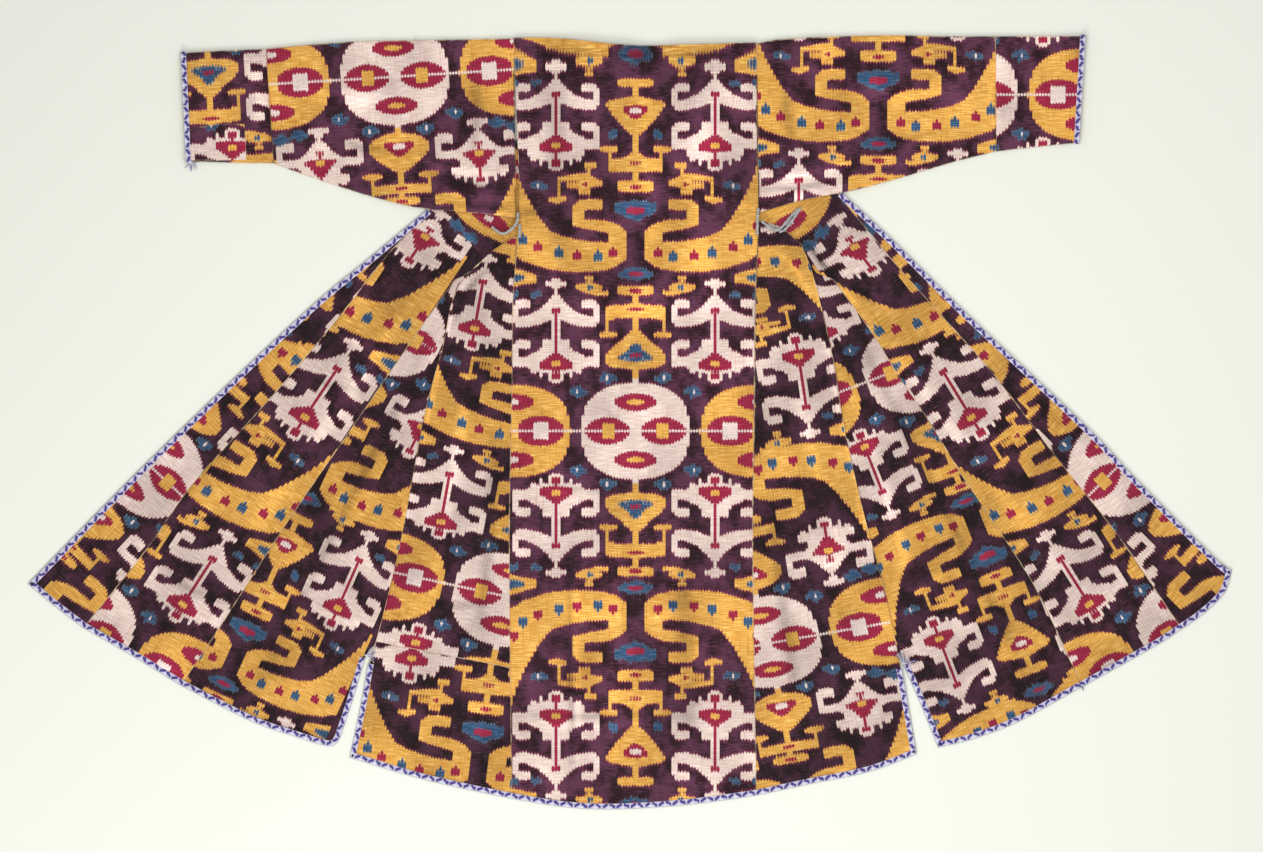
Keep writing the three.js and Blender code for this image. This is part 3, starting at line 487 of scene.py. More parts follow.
def ikat_group():
    """Colour and pile height of silk-velvet ikat, from the dye depths kept at each corner, with painted
    light: weft glints, a painted highlight along the seams, and the painted light and shade of the pile.
    """
    group = bpy.data.node_groups.new("ikat velvet", "ShaderNodeTree")
    sockets = {
        "INPUT": {"Ground": "Color", "Halo": "Color", "Feather": "Float", "Teeth": "Float", "Seam": "Float"},
        "OUTPUT": {"Color": "Color", "Height": "Float", "Roughness": "Float"},
    }
    for side, names in sockets.items():
        for name, kind in names.items():
            group.interface.new_socket(name=name, in_out=side, socket_type="NodeSocket" + kind)
    given, out = group.nodes.new("NodeGroupInput").outputs, group.nodes.new("NodeGroupOutput")
    n = Nodes(group)
    warp = n.map("warp")
    first, second = n.attribute("dyes"), n.attribute("cores_and_painted_light")
    base, core = n.parts(first["Vector"]), n.parts(second["Vector"])
    thread = n.grain(warp, 900, 90, 1.0)
    across = n.times(n.parts(warp)[0], 1 / (BUNDLE * STEP))
    tooth = n.math("MULTIPLY_ADD", n.math("PINGPONG", across, 0.5), 4.0, -1.0)
    tooth = n.times(tooth, n.ramp(thread, 0.25, 0.75, 0.35, 1.0))
    fringe = n.times(n.less(thread, 0.5), given["Feather"])
    fringe = n.plus(fringe, n.times(tooth, given["Teeth"]))
    streak = n.grain(warp, 45, 700)
    along = n.grain(warp, 420, 22)
    cloud = n.grain(warp, 9, 9, 3.0)
    fleck = n.grain(warp, 500, 420, 1.0)

    def tone(code, light, dark):
        """A dye's colour, lighter and darker along the weft and the warp."""
        pale = n.mix(n.ramp(streak, 0.42, 0.72), ink(code), ink(light))
        return n.mix(n.ramp(along, 0.50, 0.78, 0.0, 0.55), pale, ink(dark))

    shapes = n.math("MAXIMUM", n.math("MAXIMUM", base[0], base[1]), base[2])
    near = n.ramp(n.plus(shapes, n.times(fringe, 1.3)), -3.0, 0.4, 0.0, 0.75)
    colour = n.mix(near, given["Ground"], given["Halo"])
    # Each layer: its depth, its tones, how ragged its edge is, and where the dye starts and is full.
    crisp, bled, full = (1.0, -0.5, 0.5), (1.5, -1.3, 0.0), (1.5, -0.2, 1.1)
    layers = [
        (base[0], ("#dac1b6", "#ebdad0", "#c39592"), crisp),
        (base[1], ("#d2963d", "#eec06b", "#a56b26"), crisp),
        (base[2], ("#8e1937", "#a22c4a", "#700f28"), crisp),
        (first["Alpha"], ("#475a70", "#687e8e", "#35384e"), bled),
        (first["Alpha"], ("#284463", "#456b90", "#1b2b42"), full),
        (core[0], ("#d9c3bb", "#eadad2", "#bd9896"), crisp),
        (core[1], ("#d39a42", "#e6b964", "#b57e2c"), crisp),
        (core[2], ("#901b38", "#a42e4c", "#700f28"), crisp),
    ]
    for depth, tones, (soft, low, high) in layers:
        edge = n.plus(depth, n.times(fringe, soft))
        colour = n.mix(n.ramp(edge, low, high), colour, tone(*tones))
    shade = n.times(n.ramp(cloud, 0.3, 0.7, 0.90, 1.08), n.ramp(streak, 0.25, 0.75, 0.90, 1.09))
    shade = n.times(shade, n.ramp(fleck, 0.3, 0.7, 0.93, 1.06))
    # The pile's painted light and shade, from its folds and its piece, kept in the alpha of the second
    # attribute.
    shade = n.times(shade, second["Alpha"])
    glint = n.ramp(n.grain(warp, 75, 1500, 1.0), 0.66, 0.78, 0.0, 0.3)
    colour = n.mix(glint, colour, ink("#c9a9a6"))
    # Painted highlight along the seams, where light catches the turned edge, broken up along its length.
    turned = n.ramp(n.attribute("seam")["Fac"], 0.0005, 0.0013, 1.0, 0.0)
    seam_highlight_breaks = n.ramp(n.grain(warp, 70, 70, 1.0), 0.38, 0.62, 0.15, 1.0)
    line = n.times(n.times(turned, seam_highlight_breaks), given["Seam"])
    colour = n.mix(line, colour, ink("#e0c49c"))
    tinted = n.make("ShaderNodeVectorMath", {"operation": "SCALE"}, _0=colour, Scale=shade).outputs[0]
    n.put(out.inputs["Color"], tinted)
    pile = n.plus(n.times(fleck, 0.6), n.times(streak, 0.4))
    n.put(out.inputs["Height"], pile)
    n.put(out.inputs["Roughness"], n.ramp(streak, 0.2, 0.8, 0.72, 0.9))
    return group


def velvet_material(name, ground, sheen, seam):
    """Velvet whose ground colour is painted lighter for the lit pile and darker for the shaded pile (painted
    light and shade); the rest is shared, and seam sets the strength of its painted seam highlight.
    """
    material, n, shader = finish(name, 0.25)
    deep, light, halo = (ink(code) for code in ground)
    ikat = n.make("ShaderNodeGroup", {"node_tree": IKAT}, Halo=halo, Feather=1.6, Teeth=1.35, Seam=seam)
    warp = n.map("warp")
    patch, weft = n.grain(warp, 26, 20, rough=0.6), n.grain(warp, 60, 620, rough=0.6)
    mottle = n.plus(n.times(patch, 0.62), n.times(weft, 0.38))
    n.put(ikat.inputs["Ground"], n.mix(n.ramp(mottle, 0.42, 0.60), deep, light))
    n.put(shader.inputs["Base Color"], ikat.outputs["Color"])
    n.put(shader.inputs["Roughness"], ikat.outputs["Roughness"])
    n.relief(shader, ikat.outputs["Height"], 0.35, 0.0006)
    shader.inputs["Sheen Weight"].default_value = sheen
    shader.inputs["Sheen Roughness"].default_value = 0.45
    shader.inputs["Sheen Tint"].default_value = (0.8, 0.55, 0.6, 1)
    return material


IKAT = ikat_group()
# Two copies of one velvet, the lit pile and the shaded pile, with painted light and shade in their ground
# colours.
BRIGHT = velvet_material("ikat velvet, lit pile", ("#250c14", "#5a2f46", "#842a4c"), 0.10, 0.6)
DARK = velvet_material("ikat velvet, shaded pile", ("#1a070c", "#462335", "#6c213c"), 0.06, 0.95)


def at(across, down):
    """Place on the surface of a point of the layout grid, one square of which is one step."""
    return np.array([(across - MIDDLE[0]) * STEP, (MIDDLE[1] - down) * STEP])


class Solid:
    """The true form of one piece: its upper and lower faces, and its outer edge from above."""

    def __init__(self, node):
        mesh = bmesh.new()
        mesh.from_mesh(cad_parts[node].data)
        bmesh.ops.remove_doubles(mesh, verts=mesh.verts, dist=SAME)
        mesh.normal_update()
        self.tree = BVHTree.FromBMesh(mesh)
        self.edge = self.loop(mesh)
        mesh.free()

    @staticmethod
    def loop(mesh):
        """The longest way round the faces that look up."""
        top = {f.index for f in mesh.faces if f.normal.z > LEVEL}
        links = {}
        for e in mesh.edges:
            if sum(f.index in top for f in e.link_faces) == 1:
                a, b = (v.index for v in e.verts)
                links.setdefault(a, []).append(b)
                links.setdefault(b, []).append(a)
        mesh.verts.ensure_lookup_table()
        best, most = [], 0
        while links:
            start = next(iter(links))
            ring, here, last = [start], start, None
            while True:
                onward = [v for v in links.pop(here, []) if v != last and (v in links or v == start)]
                if not onward or onward[0] == start:
                    break
                last, here = here, onward[0]
                ring.append(here)
            points = np.array([mesh.verts[v].co.xy[:] for v in ring])
            size = area(points)
            if size > most:
                best, most = points, size
        return best

    def face(self, place, side):
        """Height of the upper face, side 1, or of the lower face, side -1."""
        hit = self.tree.ray_cast(Vector((*place, side * ABOVE)), Vector((0, 0, -side)))[0]
        if hit is None:
            hit = self.tree.find_nearest(Vector((*place, side * CLOSE)))[0]
        return hit.z


def area(points):
    """Area inside a closed outline."""
    x, y = points[:, 0], points[:, 1]
    return abs(np.dot(x, np.roll(y, 1)) - np.dot(y, np.roll(x, 1))) / 2


def grown(ring, by):
    """An outline moved outward a little, so that two pieces meet at their seam."""
    along = np.roll(ring, -1, axis=0) - np.roll(ring, 1, axis=0)
    along /= np.maximum(np.hypot(*along.T), 1e-9)[:, None]
    x, y = ring.T
    turn = np.sign(np.dot(x, np.roll(y, -1)) - np.dot(y, np.roll(x, -1)))
    return ring + by * turn * np.column_stack([along[:, 1], -along[:, 0]])


def drift(t, bend):
    """How far the warp has been pulled out of line at each place along it, in steps."""
    if bend is None:
        return np.zeros((2, len(t)))
    table = np.array(bend)
    return np.array([np.interp(t, table[:, 0], table[:, k]) for k in (1, 2)])


def woven(points, middle, weft, down, step, bend):
    """Place across and along the warp of points on the surface, in steps."""
    u, t = (points - middle) @ weft / step, (points - middle) @ down / step
    true = t.copy()
    for _ in range(4):
        true = t - drift(true, bend)[1]
    return u - drift(true, bend)[0], true


def lengths(line):
    """How far along a line each of its points lies."""
    return np.concatenate([[0], np.cumsum(np.linalg.norm(np.diff(line, axis=0), axis=1))])


def within(points, ring):
    """Which points lie inside a closed outline."""
    inside = np.zeros(len(points), bool)
    for a, b in zip(ring, np.roll(ring, -1, axis=0)):
        if a[1] == b[1]:
            continue
        crosses = (a[1] > points[:, 1]) != (b[1] > points[:, 1])
        inside ^= crosses & (points[:, 0] < (b[0] - a[0]) * (points[:, 1] - a[1]) / (b[1] - a[1]) + a[0])
    return inside


def nearest(points, line):
    """The closest place on a line to each point, how far off it is, and its share of the line's length."""
    best = np.full(len(points), FAR_OFF)
    place, share = np.zeros_like(points), np.zeros(len(points))
    run = lengths(line)
    for k, (a, b) in enumerate(zip(line, line[1:])):
        side = b - a
        part = np.clip((points - a) @ side / max(side @ side, 1e-12), 0, 1)
        on = a + part[:, None] * side
        gap = np.hypot(*(points - on).T)
        closer = gap < best
        best[closer], place[closer] = gap[closer], on[closer]
        share[closer] = ((run[k] + part * (run[k + 1] - run[k])) / run[-1])[closer]
    return place, best, share


def fold(points, path, width, height):
    """Height of a soft ridge, or trough where height is negative, that fades out at both ends."""
    _, gap, share = nearest(points, np.array([at(*place) for place in path]))
    fade = np.sin(np.pi * np.clip(share, 0.02, 0.98)) ** 0.7
    return height * fade * np.exp(-((gap / width) ** 2))


def creases(points, folds):
    """All the folds of a piece, on top of the slight waves of cloth that lies loose on a table."""
    x, y = points.T
    small = np.sin(x * 52 + 1.3 * np.sin(y * 23)) * np.sin(y * 38 + 0.8)
    lift = LOOSE * (small + 0.6 * np.sin(x * 23 - y * 31))
    for path, width, height in folds:
        lift = lift + fold(points, path, width * MM, height * MM)
    return lift


def gathered(field):
    """Each value of a grid counted twice, with its four neighbours."""
    wide = np.pad(field, 1)
    return 2 * field + wide[:-2, 1:-1] + wide[2:, 1:-1] + wide[1:-1, :-2] + wide[1:-1, 2:]


def relax(height, corner, times):
    """Smooths the heights over a grid of vertices, with the unused ones left out."""
    field = height[corner]
    known = ~np.isnan(field)
    for _ in range(times):
        field = gathered(np.where(known, field, 0)) / np.maximum(gathered(known.astype(int)), 1)
    height[corner] = np.where(known, field, np.nan)
    return height


def velvet(
    name, node, disc, lean, material, far=False, scale=1.0, pile=1.0, folds=(),
    tube=False, seam=SEAM_DIP, plain=False, bend=None, tip=None, scrap=None,
):
    """One cut piece: a grid woven along the warp, trimmed to the piece's outline and laid on its form.

    disc is the place of a disc's middle, lean the warp's turn in degrees, far the other row of discs.
    """
    solid = Solid(node)
    edge = solid.edge if scrap is None else np.array([at(*place) for place in scrap])
    ring = grown(edge if tip is None else drawn_out(edge, *tip), SEAM_REACH)
    outline = np.vstack([ring, ring[:1]])
    angle = math.radians(lean)
    down = np.array([-math.sin(angle), -math.cos(angle)])
    weft = np.array([-down[1], down[0]])
    step = STEP * scale
    coarse = PLAIN if plain else 1
    wide, tall = BUNDLE * coarse, ROW * coarse
    middle = at(*disc)
    u, t = woven(ring, middle, weft, down, step, bend)
    u0, t0 = math.floor(u.min() / wide) - 1, math.floor(t.min() / tall) - 1
    columns, rows = math.ceil(u.max() / wide) + 1 - u0, math.ceil(t.max() / tall) + 1 - t0
    mesh = bmesh.new()
    bmesh.ops.create_grid(mesh, x_segments=columns, y_segments=rows, size=1)
    grid = np.array([v.co[:2] for v in mesh.verts])
    column = np.rint((grid[:, 0] + 1) / 2 * columns).astype(int)
    line = np.rint((grid[:, 1] + 1) / 2 * rows).astype(int)
    u_line, t_line = (column + u0) * wide, (line + t0) * tall
    shift = drift(t_line, bend)
    places = middle + np.outer((u_line + shift[0]) * step, weft) + np.outer((t_line + shift[1]) * step, down)
    inside = within(places, ring)
    corner = np.zeros((columns + 1, rows + 1), int)
    corner[column, line] = np.arange(len(places))
    quarters = [corner[a, b] for a in (slice(0, -1), slice(1, None)) for b in (slice(0, -1), slice(1, None))]
    keep = sum(inside[q].astype(int) for q in quarters) > 0
    wanted = np.zeros(len(places), bool)
    for q in quarters:
        wanted[q[keep]] = True
    rim = wanted & ~inside
    places[rim] = nearest(places[rim], outline)[0]
    bundle = mesh.faces.layers.int.new("bundle")
    doomed = []
    for face in mesh.faces:
        c, r = (min(index[v.index] for v in face.verts) for index in (column, line))
        face[bundle] = int(c + u0)
        if not keep[c, r]:
            doomed.append(face)
    height = np.full(len(places), np.nan)
    for k in np.nonzero(wanted)[0]:
        height[k] = solid.face(places[k], 1)
    height = relax(height, corner, EVENINGS)
    turned = seam * np.exp(-((nearest(places, outline)[1] / SEAM_ROUND) ** 2))
    height = np.maximum(height + creases(places, folds) - turned, PILE + CLEAR) + (ON_TOP if scrap else 0)
    for v in mesh.verts:
        if wanted[v.index]:
            v.co = (*places[v.index], height[v.index])
    bmesh.ops.delete(mesh, geom=doomed, context="FACES")
    mesh.normal_update()
    if next(iter(mesh.faces)).normal.z < 0:
        bmesh.ops.reverse_faces(mesh, faces=mesh.faces[:])
    if tube:
        close_tube(mesh, solid, outline)
    piece = sewn(mesh, name, node, material)
    # pile is the piece's painted brightness; with the folds it paints light and shade into the velvet's
    # colour.
    dye(piece.data, (middle, weft, down, step, bend), wide, far, pile, folds, outline)
    wall = piece.modifiers.new("velvet", "SOLIDIFY")
    wall.thickness, wall.offset = PILE, -1


def sewn(mesh, name, node, material):
    """Makes a mesh one piece of the robe, in the place of its solid."""
    data = bpy.data.meshes.new(name)
    mesh.to_mesh(data)
    mesh.free()
    data.materials.append(material)
    data.shade_smooth()
    piece = bpy.data.objects.new(name, data)
    bpy.context.collection.objects.link(piece)
    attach(piece, "root")
    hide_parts(node)
    return piece


def dye(data, loom, wide, far, pile, folds, outline):
    """Writes each corner's place on the loom, its depth in every dye's shapes, its distance to the seam and
    the painted light and shade of its pile.
    """
    corners = len(data.loops)
    vertex = np.empty(corners, int)
    data.loops.foreach_get("vertex_index", vertex)
    co = np.empty(len(data.vertices) * 3)
    data.vertices.foreach_get("co", co)
    places = co.reshape(-1, 3)[:, :2]
    reach = nearest(places, outline)[1][vertex].astype(np.float32)
    places = places[vertex]
    bundle = np.empty(len(data.polygons), int)
    data.attributes["bundle"].data.foreach_get("value", bundle)
    size = np.empty(len(data.polygons), int)
    data.polygons.foreach_get("loop_total", size)
    column = np.repeat(bundle, size)
    u, t = woven(places, *loom)
    depth = dyed((column + 0.5) * wide, t + (HALF_REPEAT if far else 0))
    seam = data.attributes.new("seam", "FLOAT", "CORNER")
    seam.data.foreach_set("value", reach)
    warp = data.uv_layers.new(name="warp")
    warp.data.foreach_set("uv", np.column_stack([u, t]).ravel() * STEP)
    # Painted light and shade: the pile's colour is brighter on each rise of the folds and waves and darker
    # in each trough, times the piece's painted brightness.
    lit = pile * np.clip(1 + PILE_SHINE * creases(places, folds), DULLEST, GLOSSIEST)
    shapes = {"dyes": [depth[k] for k in DYES[:4]], "cores_and_painted_light": [depth[k] for k in DYES[4:]] + [lit]}
    for name, fields in shapes.items():
        kept = data.attributes.new(name, "FLOAT_COLOR", "CORNER")
        kept.data.foreach_set("color", np.column_stack(fields).astype(np.float32).ravel())


# Each fold: a line of points on the layout grid, its half width and its height in millimetres.
# A fold also paints the pile's colour lighter on a rise and darker in a trough, near black in the deepest
# ones: painted light and shade. The wide shallow troughs that open the tables of the back, the back gores
# and the fronts are there for their painted shade.
BACK_FOLDS = [
    ([(530, 690), (640, 700), (750, 690)], 90, -0.16),
    ([(571, 540), (569, 640), (572, 720), (570, 800)], 5, -1.0),
    ([(578, 560), (576, 650), (579, 760)], 6, 0.8),
    ([(516, 714), (570, 717), (640, 714), (704, 718)], 5, -0.9),
    ([(520, 724), (590, 726), (660, 722)], 6, 0.7),
    ([(513, 205), (535, 200), (562, 198)], 4.5, 1.0),
    ([(513, 214), (540, 212), (575, 204)], 4.5, -1.0),
    ([(757, 208), (735, 204), (708, 203)], 4.5, 0.9),
    ([(514, 50), (545, 55), (580, 52), (606, 56)], 4.5, -1.7),
    ([(662, 56), (690, 53), (722, 56), (756, 50)], 4.5, -1.7),
    ([(520, 62), (560, 66), (600, 62)], 5, 0.9),
    ([(600, 49), (635, 58), (672, 49)], 10, -1.2),
    ([(515, 300), (600, 311), (755, 300)], 20, 1.0),
    ([(640, 70), (652, 200), (640, 340)], 18, 0.9),
    ([(560, 60), (554, 180), (565, 300)], 16, -0.9),
    ([(705, 80), (698, 230), (712, 380)], 18, 0.9),
    ([(610, 560), (618, 650), (606, 760)], 18, 0.9),
    ([(690, 520), (682, 620), (696, 760)], 16, -0.9),
    ([(530, 480), (600, 492), (680, 478)], 8, -0.7),
    ([(560, 612), (640, 620), (730, 606)], 8, 0.7),
]
# Along the warp, then how far the cloth is pulled across and along it, in steps.
PULL_BACK = [(-400, 0, -9), (-376, 0, -8), (-362, 0, 3), (-345, 0, 2), (-300, 0, 0), (0, 0, 0)]
BACK_DISC = (635.5, 431)  # the middle of the white disc on the back, on the layout grid
velvet("velvet_of_back", "back_panel", BACK_DISC, 0, BRIGHT, pile=GLOSS, folds=BACK_FOLDS, bend=PULL_BACK)
for side in ("left", "right"):
    velvet("turned_shoulder_" + side, "shoulder_turn_" + side, BACK_DISC, 0, DARK, plain=True)

# ---------------------------------------------------------------------------
# Gores and fronts.
# The half widths of the fronts swing out from under the back, each with a triangle of the
# same velvet sewn to either side. Two more triangles widen the back, with seams sewn by hand.
# ---------------------------------------------------------------------------

GORE_FOLDS_LEFT = [
    ([(478, 230), (480, 340), (484, 470)], 40, -0.35),
    ([(497, 253), (472, 267), (453, 306), (438, 370), (423, 440), (409, 510), (397, 572)], 3.4, 1.3),
    ([(500, 262), (480, 276), (462, 298), (452, 330)], 4, -1.3),
    ([(470, 330), (462, 430), (440, 560)], 9, 1.0),
    ([(495, 420), (490, 540), (478, 640)], 10, -0.9),
    ([(420, 600), (450, 606), (500, 602)], 6, -0.8),
    ([(380, 700), (440, 712), (506, 705)], 8, 0.9),
]
GORE_FOLDS_RIGHT = [
    ([(790, 230), (800, 340), (806, 470)], 38, -0.25),
    ([(800, 243), (809, 262), (819, 300), (830, 360), (845, 440), (862, 510), (877, 570)], 3.4, 1.3),
    ([(762, 222), (780, 232), (800, 238)], 4, -1.4),
    ([(786, 232), (793, 240), (802, 246)], 3.5, 1.5),
    ([(772, 250), (790, 262), (800, 276), (812, 300)], 5, 1.1),
    ([(790, 330), (806, 430), (842, 560)], 10, 0.9),
    ([(770, 480), (782, 600), (800, 720)], 10, -0.9),
    ([(762, 560), (810, 566), (870, 556)], 6, 0.7),
]
FRONT_FOLDS_LEFT = [
    ([(450, 210), (410, 320), (360, 440)], 45, -0.2),
    ([(486, 247), (470, 268), (452, 296), (430, 322)], 3.5, -2.2),
    ([(452, 216), (470, 240), (486, 258)], 4, 1.2),
    ([(440, 262), (400, 320), (330, 420), (230, 560)], 11, 0.9),
    ([(330, 330), (360, 345), (400, 350)], 5, 1.0),
    ([(300, 372), (330, 386), (372, 392)], 5, -0.9),
    ([(230, 470), (270, 490), (310, 500)], 6, 0.9),
    ([(150, 560), (190, 590), (240, 606)], 7, -0.9),
    ([(120, 640), (150, 664), (190, 680)], 7, 0.8),
]
FRONT_FOLDS_RIGHT = [
    ([(850, 210), (890, 320), (940, 430)], 45, -0.22),
    ([(800, 238), (812, 250), (826, 268), (846, 294)], 3.5, -2.2),
    ([(836, 286), (848, 294), (860, 308)], 4, 1.3),
    ([(848, 282), (862, 292), (874, 306)], 4, -1.1),
    ([(862, 284), (876, 296), (890, 312)], 4.5, 1.2),
    ([(850, 300), (890, 350), (960, 440), (1060, 570)], 11, 0.9),
    ([(930, 330), (905, 350), (880, 362)], 5, -0.9),
    ([(1000, 420), (972, 440), (940, 452)], 6, 0.9),
    ([(1080, 520), (1050, 546), (1010, 560)], 7, -0.9),
    ([(1140, 600), (1110, 630), (1080, 644)], 7, 0.8),
]
SIDE_FOLDS_LEFT = [
    ([(440, 310), (400, 400), (340, 520), (250, 700)], 9, -0.9),
    ([(452, 380), (420, 480), (380, 620)], 9, 1.0),
    ([(300, 600), (340, 622), (380, 628)], 6, 0.9),
    ([(230, 700), (280, 730), (330, 742)], 7, -0.9),
]
SIDE_FOLDS_RIGHT = [
    ([(846, 310), (900, 420), (960, 540), (1030, 680)], 9, -0.9),
    ([(858, 400), (888, 500), (930, 640)], 9, 1.0),
    ([(960, 560), (930, 584), (900, 592)], 6, 0.9),
    ([(1030, 660), (990, 690), (950, 700)], 7, -0.9),
]
PULL_LEFT = [(-560, 26, -18), (-520, 24, -20), (-483, 21.6, -24), (-285, 10, -6), (-62, 0, 0), (0, 0, 0)]
PULL_RIGHT = [(-560, -20, -13), (-483, -17, -11), (-400, -6, -5), (-285, -5, -3), (-62, 0, 0), (0, 0, 0)]
PULL_SIDE_LEFT = [(-600, 4, -15), (-565, 4, -15), (-487, -4, -15), (-395, -5.7, -4.5), (-280, -3, 4),
                  (0, 0, 0)]
PULL_SIDE_RIGHT = [(-150, -4, 11), (-60, 0, 5), (0, 0, 2), (60, -1, 4), (200, 0, 0)]
PULL_GORE_LEFT = [(-420, -10, 48), (-285, -5.8, 34), (-180, -1.8, 22), (-62, 1.5, 12), (0, 2.5, 4),
                  (62, 1.8, 6.5)]
PULL_GORE_RIGHT = [(-420, -2, 11), (-285, 3.3, -1.5), (-180, 0.7, -4), (-62, -1.5, -3.3), (0, 0.7, -4),
                   (62, 5, -10), (300, 6, -14)]
# Node, middle of a disc, lean, far row of discs, scale, painted brightness of the pile (painted shade where
# below 1), folds and pull.
LAID = [
    ("back_gore_left", (506, 592), 12, False, 1.0, 0.96, GORE_FOLDS_LEFT, PULL_GORE_LEFT),
    ("back_gore_left_hem", (456, 951), 7, False, 1.0, 0.98, GORE_FOLDS_LEFT[-2:], None),
    ("back_gore_right", (766, 648), -10, True, 1.0, 0.96, GORE_FOLDS_RIGHT, PULL_GORE_RIGHT),
    ("front_panel_left", (80, 622), 30.6, False, 1.0, 0.94, FRONT_FOLDS_LEFT, PULL_LEFT),
    ("front_panel_right", (1192, 621), -31, False, 1.0, 0.95, FRONT_FOLDS_RIGHT, PULL_RIGHT),
    ("front_side_gore_left", (165, 813), 25, False, 0.92, 0.94, SIDE_FOLDS_LEFT, PULL_SIDE_LEFT),
    ("front_side_gore_right", (913, 362), -21, False, 0.94, 0.93, SIDE_FOLDS_RIGHT, PULL_SIDE_RIGHT),
    ("front_edge_gore_left", (148, 464), 43, True, 1.0, 0.95, FRONT_FOLDS_LEFT, None),
    ("front_edge_gore_right", (1122, 462), -45, True, 1.0, 0.96, FRONT_FOLDS_RIGHT, None),
]
# The hidden upper ends of the side gores, under the back.
TIPS = {
    "front_side_gore_left": ((456, 250, 500, 305), [(474, 304), (486, 262)]),
    "front_side_gore_right": ((790, 250, 833, 300), [(806, 300), (798, 262)]),
}


def drawn_out(ring, box, tips):
    """An outline whose cut-off end, inside a box, is drawn out to a tip under another piece."""
    across, down = MIDDLE[0] + ring[:, 0] / STEP, MIDDLE[1] - ring[:, 1] / STEP
    close = (across > box[0]) & (across < box[2]) & (down > box[1]) & (down < box[3])
    start = int(np.nonzero(close & ~np.roll(close, 1))[0][0])
    kept = np.roll(ring, -start, axis=0)[~np.roll(close, -start)]
    tips = np.array([at(*place) for place in tips])
    straight = np.hypot(*(kept[-1] - tips[0])) + np.hypot(*(kept[0] - tips[-1]))
    crossed = np.hypot(*(kept[-1] - tips[-1])) + np.hypot(*(kept[0] - tips[0]))
    return np.vstack([tips if straight < crossed else tips[::-1], kept])


for node, disc, lean, *rest, bend in LAID:
    velvet("velvet_of_" + node, node, disc, lean, DARK, *rest, bend=bend, tip=TIPS.get(node))

# ---------------------------------------------------------------------------
# Sleeves.
# Each is a tapering length, folded along its top and sewn underneath, with a short length
# pieced on at the wrist. The left end has a scrap of another part of the cloth let in below.
# ---------------------------------------------------------------------------

LOWER_CLEAR = 0.0001  # height of the lower layer over its solid's lower face
LIT = 1.15  # painted brightness of the right sleeve's pile, which is brushed towards the light: a painted highlight
SCRAP_DIP = 0.0003  # how far the scrap is drawn down at its seams
SCRAP = [(187.5, 131), (203, 127), (219, 124.5), (244.5, 124.5), (246, 143), (246.5, 160), (216, 160.3),
         (188.5, 160.5)]
SLEEVE_FOLDS_LEFT = [
    ([(400, 152), (440, 168), (508, 178)], 5, 1.4),
    ([(420, 172), (460, 184), (512, 190)], 4.5, -1.4),
    ([(440, 190), (475, 197), (512, 199)], 4, 1.3),
    ([(452, 205), (480, 207), (512, 209)], 4, -1.2),
    ([(470, 213), (490, 214), (512, 216)], 4, 1.1),
    ([(300, 92), (340, 102), (400, 96)], 13, 1.0),
    ([(330, 136), (362, 148), (424, 156)], 7, -1.0),
    ([(250, 60), (262, 100), (258, 140)], 10, 0.8),
    ([(470, 60), (478, 110), (470, 160)], 10, -0.9),
]
SLEEVE_FOLDS_RIGHT = [
    ([(758, 178), (800, 176), (856, 162)], 5, 1.4),
    ([(758, 190), (800, 188), (840, 180)], 4.5, -1.4),
    ([(758, 200), (790, 198), (822, 194)], 4, 1.3),
    ([(760, 210), (780, 209), (800, 204)], 4, -1.1),
    ([(850, 84), (900, 96), (960, 90)], 13, 1.0),
    ([(846, 130), (890, 142), (950, 130)], 7, -1.0),
    ([(1000, 60), (990, 100), (996, 136)], 10, 0.8),
    ([(792, 60), (786, 110), (796, 160)], 10, -0.9),
]


def close_tube(mesh, solid, outline):
    """Adds the lower layer of a sleeve, joined to the upper one along its fold and its seam."""
    upper = mesh.verts[:]
    made = bmesh.ops.duplicate(mesh, geom=mesh.verts[:] + mesh.edges[:] + mesh.faces[:])
    lower = [v for v in made["geom"] if isinstance(v, bmesh.types.BMVert)]
    bmesh.ops.reverse_faces(mesh, faces=[f for f in made["geom"] if isinstance(f, bmesh.types.BMFace)])
    places = np.array([v.co.xy[:] for v in lower])
    gap = nearest(places, outline)[1]
    joined = []
    for v, above, place, off in zip(lower, upper, places, gap):
        v.co.z = solid.face(place, -1) + LOWER_CLEAR
        if off < SAME:
            v.co.z = above.co.z = (above.co.z + v.co.z) / 2
            joined += [v, above]
    bmesh.ops.remove_doubles(mesh, verts=joined, dist=SAME)


LEFT = dict(pile=GLOSS, folds=SLEEVE_FOLDS_LEFT)
RIGHT = dict(pile=LIT, folds=SLEEVE_FOLDS_RIGHT)
velvet("velvet_of_sleeve_left", "sleeve_left", (395, 77), -3.5, BRIGHT, True, tube=True, **LEFT)
velvet("velvet_of_sleeve_right", "sleeve_right", (878, 301), 0, BRIGHT, tube=True, **RIGHT)
velvet("velvet_of_sleeve_end_left", "cuff_left", (204.9, -2.5), -3, BRIGHT, tube=True, **LEFT)
velvet("scrap_of_sleeve_end_left", "cuff_left", (153.2, 86), 0, BRIGHT, seam=SCRAP_DIP, scrap=SCRAP, **LEFT)
velvet("velvet_of_sleeve_end_right", "cuff_right", (963, 95), 0, BRIGHT, tube=True, **RIGHT)

# ---------------------------------------------------------------------------
# Braid: the edging of the fronts, hems, side slits and cuffs.
# Lilac-white silk tape, woven straight on to the raw edge with an indigo zigzag. It is
# swept along each edge as one closed strip, with mitred corners.
# ---------------------------------------------------------------------------

